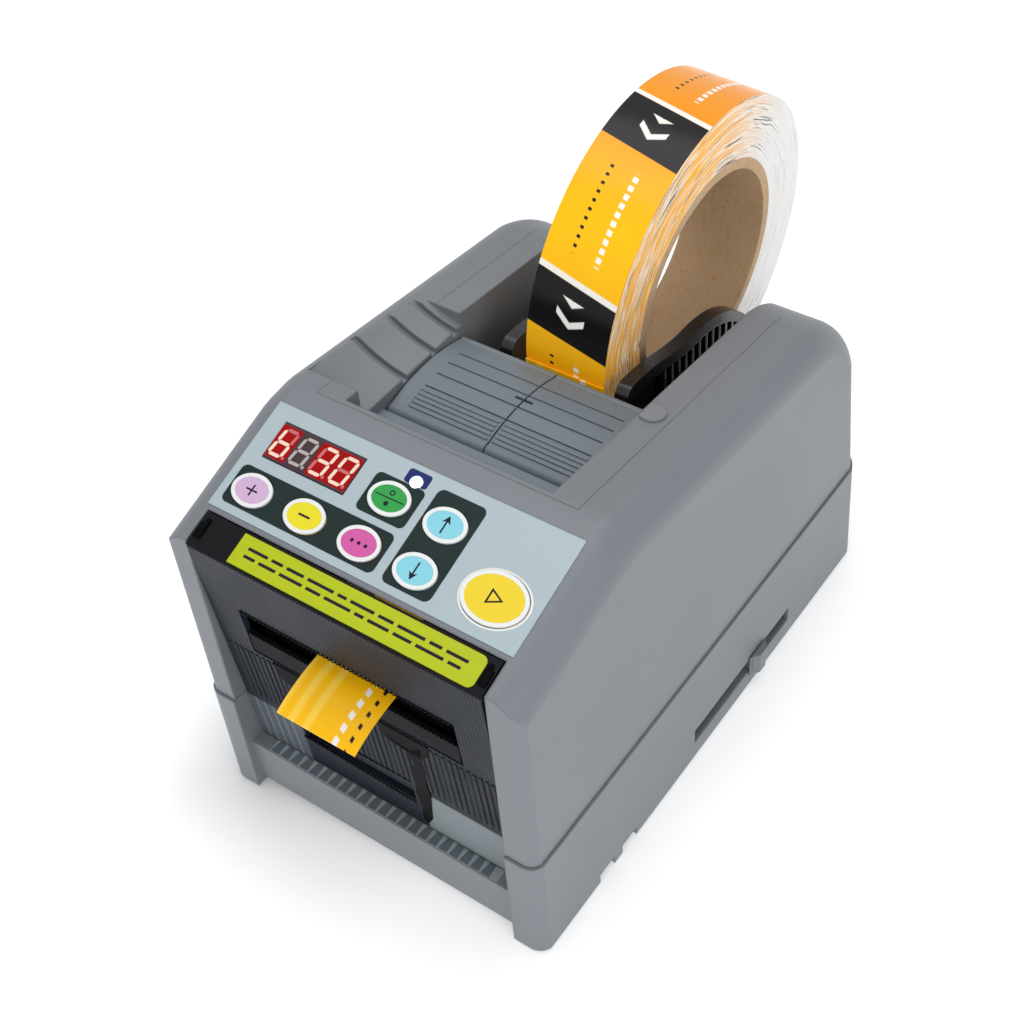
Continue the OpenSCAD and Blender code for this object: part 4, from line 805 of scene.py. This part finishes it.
def saw_line(u0, v0, u1, v1, width, pitch, depth):
    """Band between two places with a row of teeth on both edges."""
    count = int(math.hypot(u1 - u0, v1 - v0) / pitch)
    upper, lower = [], []
    for i in range(2 * count + 1):
        f = i / (2 * count)
        u, v = u0 + (u1 - u0) * f, v0 + (v1 - v0) * f
        lift = depth * (i % 2)
        upper.append((u, v + width / 2 + lift))
        lower.append((u, v - width / 2 + lift))
    return upper + lower[::-1]


# Guard's plate: toothed black lines along the pocket's edges, which are painted shade of the hole's edges,
# its jagged right wall and its back
FACE_HIGH = 0.35
LOWER_LINE = (-33.0, -90.6, 15.5, -92.8)
UPPER_LINE = (-30.0, -80.6, 15.5, -79.2)
POCKET_WALL = (
    (25.4, -52.0), (24.6, -60.0), (25.0, -66.0), (23.6, -74.0), (23.9, -82.0), (22.6, -90.0), (21.6, -98.0),
    (18.6, -103.5), (17.4, -98.5), (18.6, -92.0), (17.2, -84.0), (18.8, -77.0), (17.8, -70.0), (20.4, -64.0),
    (19.0, -58.5), (12.4, -56.0), (9.0, -54.6), (12.8, -54.4), (20.4, -55.6),
)
POCKET_BACK = (-33.5, -92.2, 17.5, -78.4, 1.0)
BACK_LOW = -GUARD_T - 0.5
BACK_HIGH = -GUARD_T - 0.1


def trim(name, shapes, look, low=0.0, high=FACE_HIGH):
    slab(name, shapes, low, high, PLATE, "guard", look)


# Toothed lines along the pocket's edges, black as painted shade
lower_line = saw_line(*LOWER_LINE, width=0.9, pitch=1.7, depth=0.9)
upper_line = saw_line(*UPPER_LINE, width=0.35, pitch=2.2, depth=0.6)
trim("pocket_edge_shade", [[lower_line], [upper_line]], BLACK_TRIM)
trim("pocket_wall", [[POCKET_WALL]], BLACK_TRIM)
trim("pocket_back", [[rect(*POCKET_BACK)]], SLATE, BACK_LOW, BACK_HIGH)

# Outlet: jagged upper edge and two dark blocks below it
OUTLET_EDGE = (-42.5, -25.4, 42.5, -25.4)
LEFT_BLOCK = ((-35.0, -48.0), (-19.0, -48.0), (-19.0, -55.5), (-23.5, -57.8), (-31.0, -57.0), (-34.0, -54.0))
RIGHT_BLOCK = ((9.0, -48.0), (29.0, -48.0), (28.0, -54.0), (25.0, -57.6), (12.0, -56.8), (9.0, -54.0))
trim("outlet_teeth", [[saw_line(*OUTLET_EDGE, width=0.5, pitch=1.7, depth=0.8)]], BLACK_TRIM)
trim("outlet_blocks", [[LEFT_BLOCK], [RIGHT_BLOCK]], BLACK_TRIM)

# Row of dark bars on a pale strip of the sill
SILL_STRIP = (-50.0, 3.3, 50.0, 8.7, 0.4)
BAR_COUNT = 22
BAR_PITCH = 4.4
BAR_SHAPE = ((0.7, 3.6), (4.2, 3.6), (3.8, 8.4), (1.3, 8.4))
BAR_T = 0.08
bars = []
for i in range(BAR_COUNT):
    left = SILL_STRIP[0] + i * BAR_PITCH
    bars.append([[(left + u, v) for u, v in BAR_SHAPE]])
slab("sill_strip", [[rect(*SILL_STRIP)]], 0.0, BAR_T, SILL, "housing", BAR_PALE)
slab("sill_bars", bars, BAR_T, 2 * BAR_T, SILL, "housing", BAR_DARK)


# Soft studio lights, aimed at the middle of the body
AIM = Vector((0.0, 0.0, 0.08))


def area(name, position, size, power):
    lamp = bpy.data.lights.new(name, "AREA")
    lamp.size = size
    lamp.energy = power
    holder = bpy.data.objects.new(name, lamp)
    holder.location = position
    holder.rotation_euler = (AIM - Vector(position)).to_track_quat("-Z", "Y").to_euler()
    bpy.context.scene.collection.objects.link(holder)


area("key_light", (0.85, -0.35, 0.5), size=0.5, power=1.85)
area("top_light", (-0.1, 0.1, 1.1), size=0.9, power=4.9)
area("front_light", (0.15, -0.95, 0.5), size=0.6, power=1.75)

# World: soft light on the object, and a plain pale ground behind it
SOFT_TINT = (0.95, 0.97, 1.0, 1.0)
SOFT_STRENGTH = 0.42
world = bpy.data.worlds.new("studio")
bpy.context.scene.world = world
sky = Nodes("studio", world)
ray = sky.add("ShaderNodeLightPath").outputs
seen = sky.math("MAXIMUM", ray["Is Camera Ray"], ray["Is Transmission Ray"])
seen = sky.math("MAXIMUM", seen, ray["Is Glossy Ray"])
soft = sky.add("ShaderNodeBackground")
soft.inputs["Color"].default_value = SOFT_TINT
soft.inputs["Strength"].default_value = SOFT_STRENGTH
pale = sky.add("ShaderNodeBackground")
pale.inputs["Strength"].default_value = 1.0
sky.done(sky.blend(seen, soft.outputs[0], pale.outputs[0]), "ShaderNodeOutputWorld")

# Floor: a pale sweep whose glow fades close to the foot of the body, most on the left, which is a painted
# shadow round the body's foot
FLOOR_HALF = 6.0
FLOOR_TINTS = ((0.93, 0.93, 0.93, 1.0), (0.95, 0.95, 0.95, 1.0))
FOOT_HALF_W = 0.068
FOOT_HALF_L = 0.111
FOOT_Y = -0.009
GLOW = 0.42
PAINTED_SHADOW_WIDTH = 0.045
PAINTED_SHADOW_X = (-0.075, 0.02)
PAINTED_SHADOW_GLOW = (0.0, 0.37)
sweep = Nodes("floor")
x, y, _ = sweep.axes()
matte = sweep.add("ShaderNodeBsdfDiffuse")
sweep.put(matte.inputs["Color"], sweep.mix(sweep.noise(6.0, 2.0), *FLOOR_TINTS))
# Distance from the body's foot; the glow falls off towards it as a painted shadow, least on the right
aside = sweep.math("SUBTRACT", sweep.math("ABSOLUTE", x), FOOT_HALF_W)
along = sweep.math("SUBTRACT", sweep.math("ABSOLUTE", sweep.math("SUBTRACT", y, FOOT_Y)), FOOT_HALF_L)
painted_shadow_reach = sweep.hypot(sweep.math("MAXIMUM", aside, 0.0), sweep.math("MAXIMUM", along, 0.0))
glow_in_painted_shadow = sweep.ramp(x, *PAINTED_SHADOW_X, *PAINTED_SHADOW_GLOW)
glow = sweep.add("ShaderNodeEmission")
sweep.put(glow.inputs["Strength"], sweep.ramp(painted_shadow_reach, 0.0, PAINTED_SHADOW_WIDTH, glow_in_painted_shadow, GLOW))
total = sweep.add("ShaderNodeAddShader")
sweep.put(total.inputs[0], matte.outputs[0])
sweep.put(total.inputs[1], glow.outputs[0])

ground = bpy.data.meshes.new("floor")
corners = [(u, v, 0.0) for u, v in rect(-FLOOR_HALF, -FLOOR_HALF, FLOOR_HALF, FLOOR_HALF)]
ground.from_pydata(corners, [], [(0, 1, 2, 3)])
ground.materials.append(sweep.done(total.outputs[0]))
floor = bpy.data.objects.new("floor", ground)
bpy.context.scene.collection.objects.link(floor)

# Camera in front of the right corner and above it: angles, distance in millimetres, and its frame in pixels
VIEW_AZ = math.radians(39.066)
VIEW_EL = math.radians(45.458)
VIEW_ROLL = math.radians(5.443)
VIEW_D = 608.84
VIEW_AT = (-20.97, 12.58, 60.0)
FOCAL_PX = 1637.0
CENTRE_PX = (518.5, 510.6)
FRAME_PX = 1024.0
SENSOR = 36.0

level = math.cos(VIEW_EL)
back = Vector((math.sin(VIEW_AZ) * level, -math.cos(VIEW_AZ) * level, math.sin(VIEW_EL)))
right = (-back).cross(Vector((0, 0, 1))).normalized()
down = (-back).cross(right)
right_rolled = math.cos(VIEW_ROLL) * right + math.sin(VIEW_ROLL) * down
down_rolled = -math.sin(VIEW_ROLL) * right + math.cos(VIEW_ROLL) * down
lens = bpy.data.cameras.new("camera")
lens.sensor_width = SENSOR
lens.lens = SENSOR * FOCAL_PX / FRAME_PX
lens.shift_x = (FRAME_PX / 2 - CENTRE_PX[0]) / FRAME_PX
lens.shift_y = (CENTRE_PX[1] - FRAME_PX / 2) / FRAME_PX
lens.clip_start = 0.01
camera = bpy.data.objects.new("camera", lens)
bpy.context.scene.collection.objects.link(camera)
spot = place(*VIEW_AT) + back * VIEW_D * MM
turn = Matrix((right_rolled, -down_rolled, back)).transposed()
camera.matrix_world = Matrix.Translation(spot) @ turn.to_4x4()
bpy.context.scene.camera = camera
bpy.context.scene.view_settings.view_transform = "Standard"
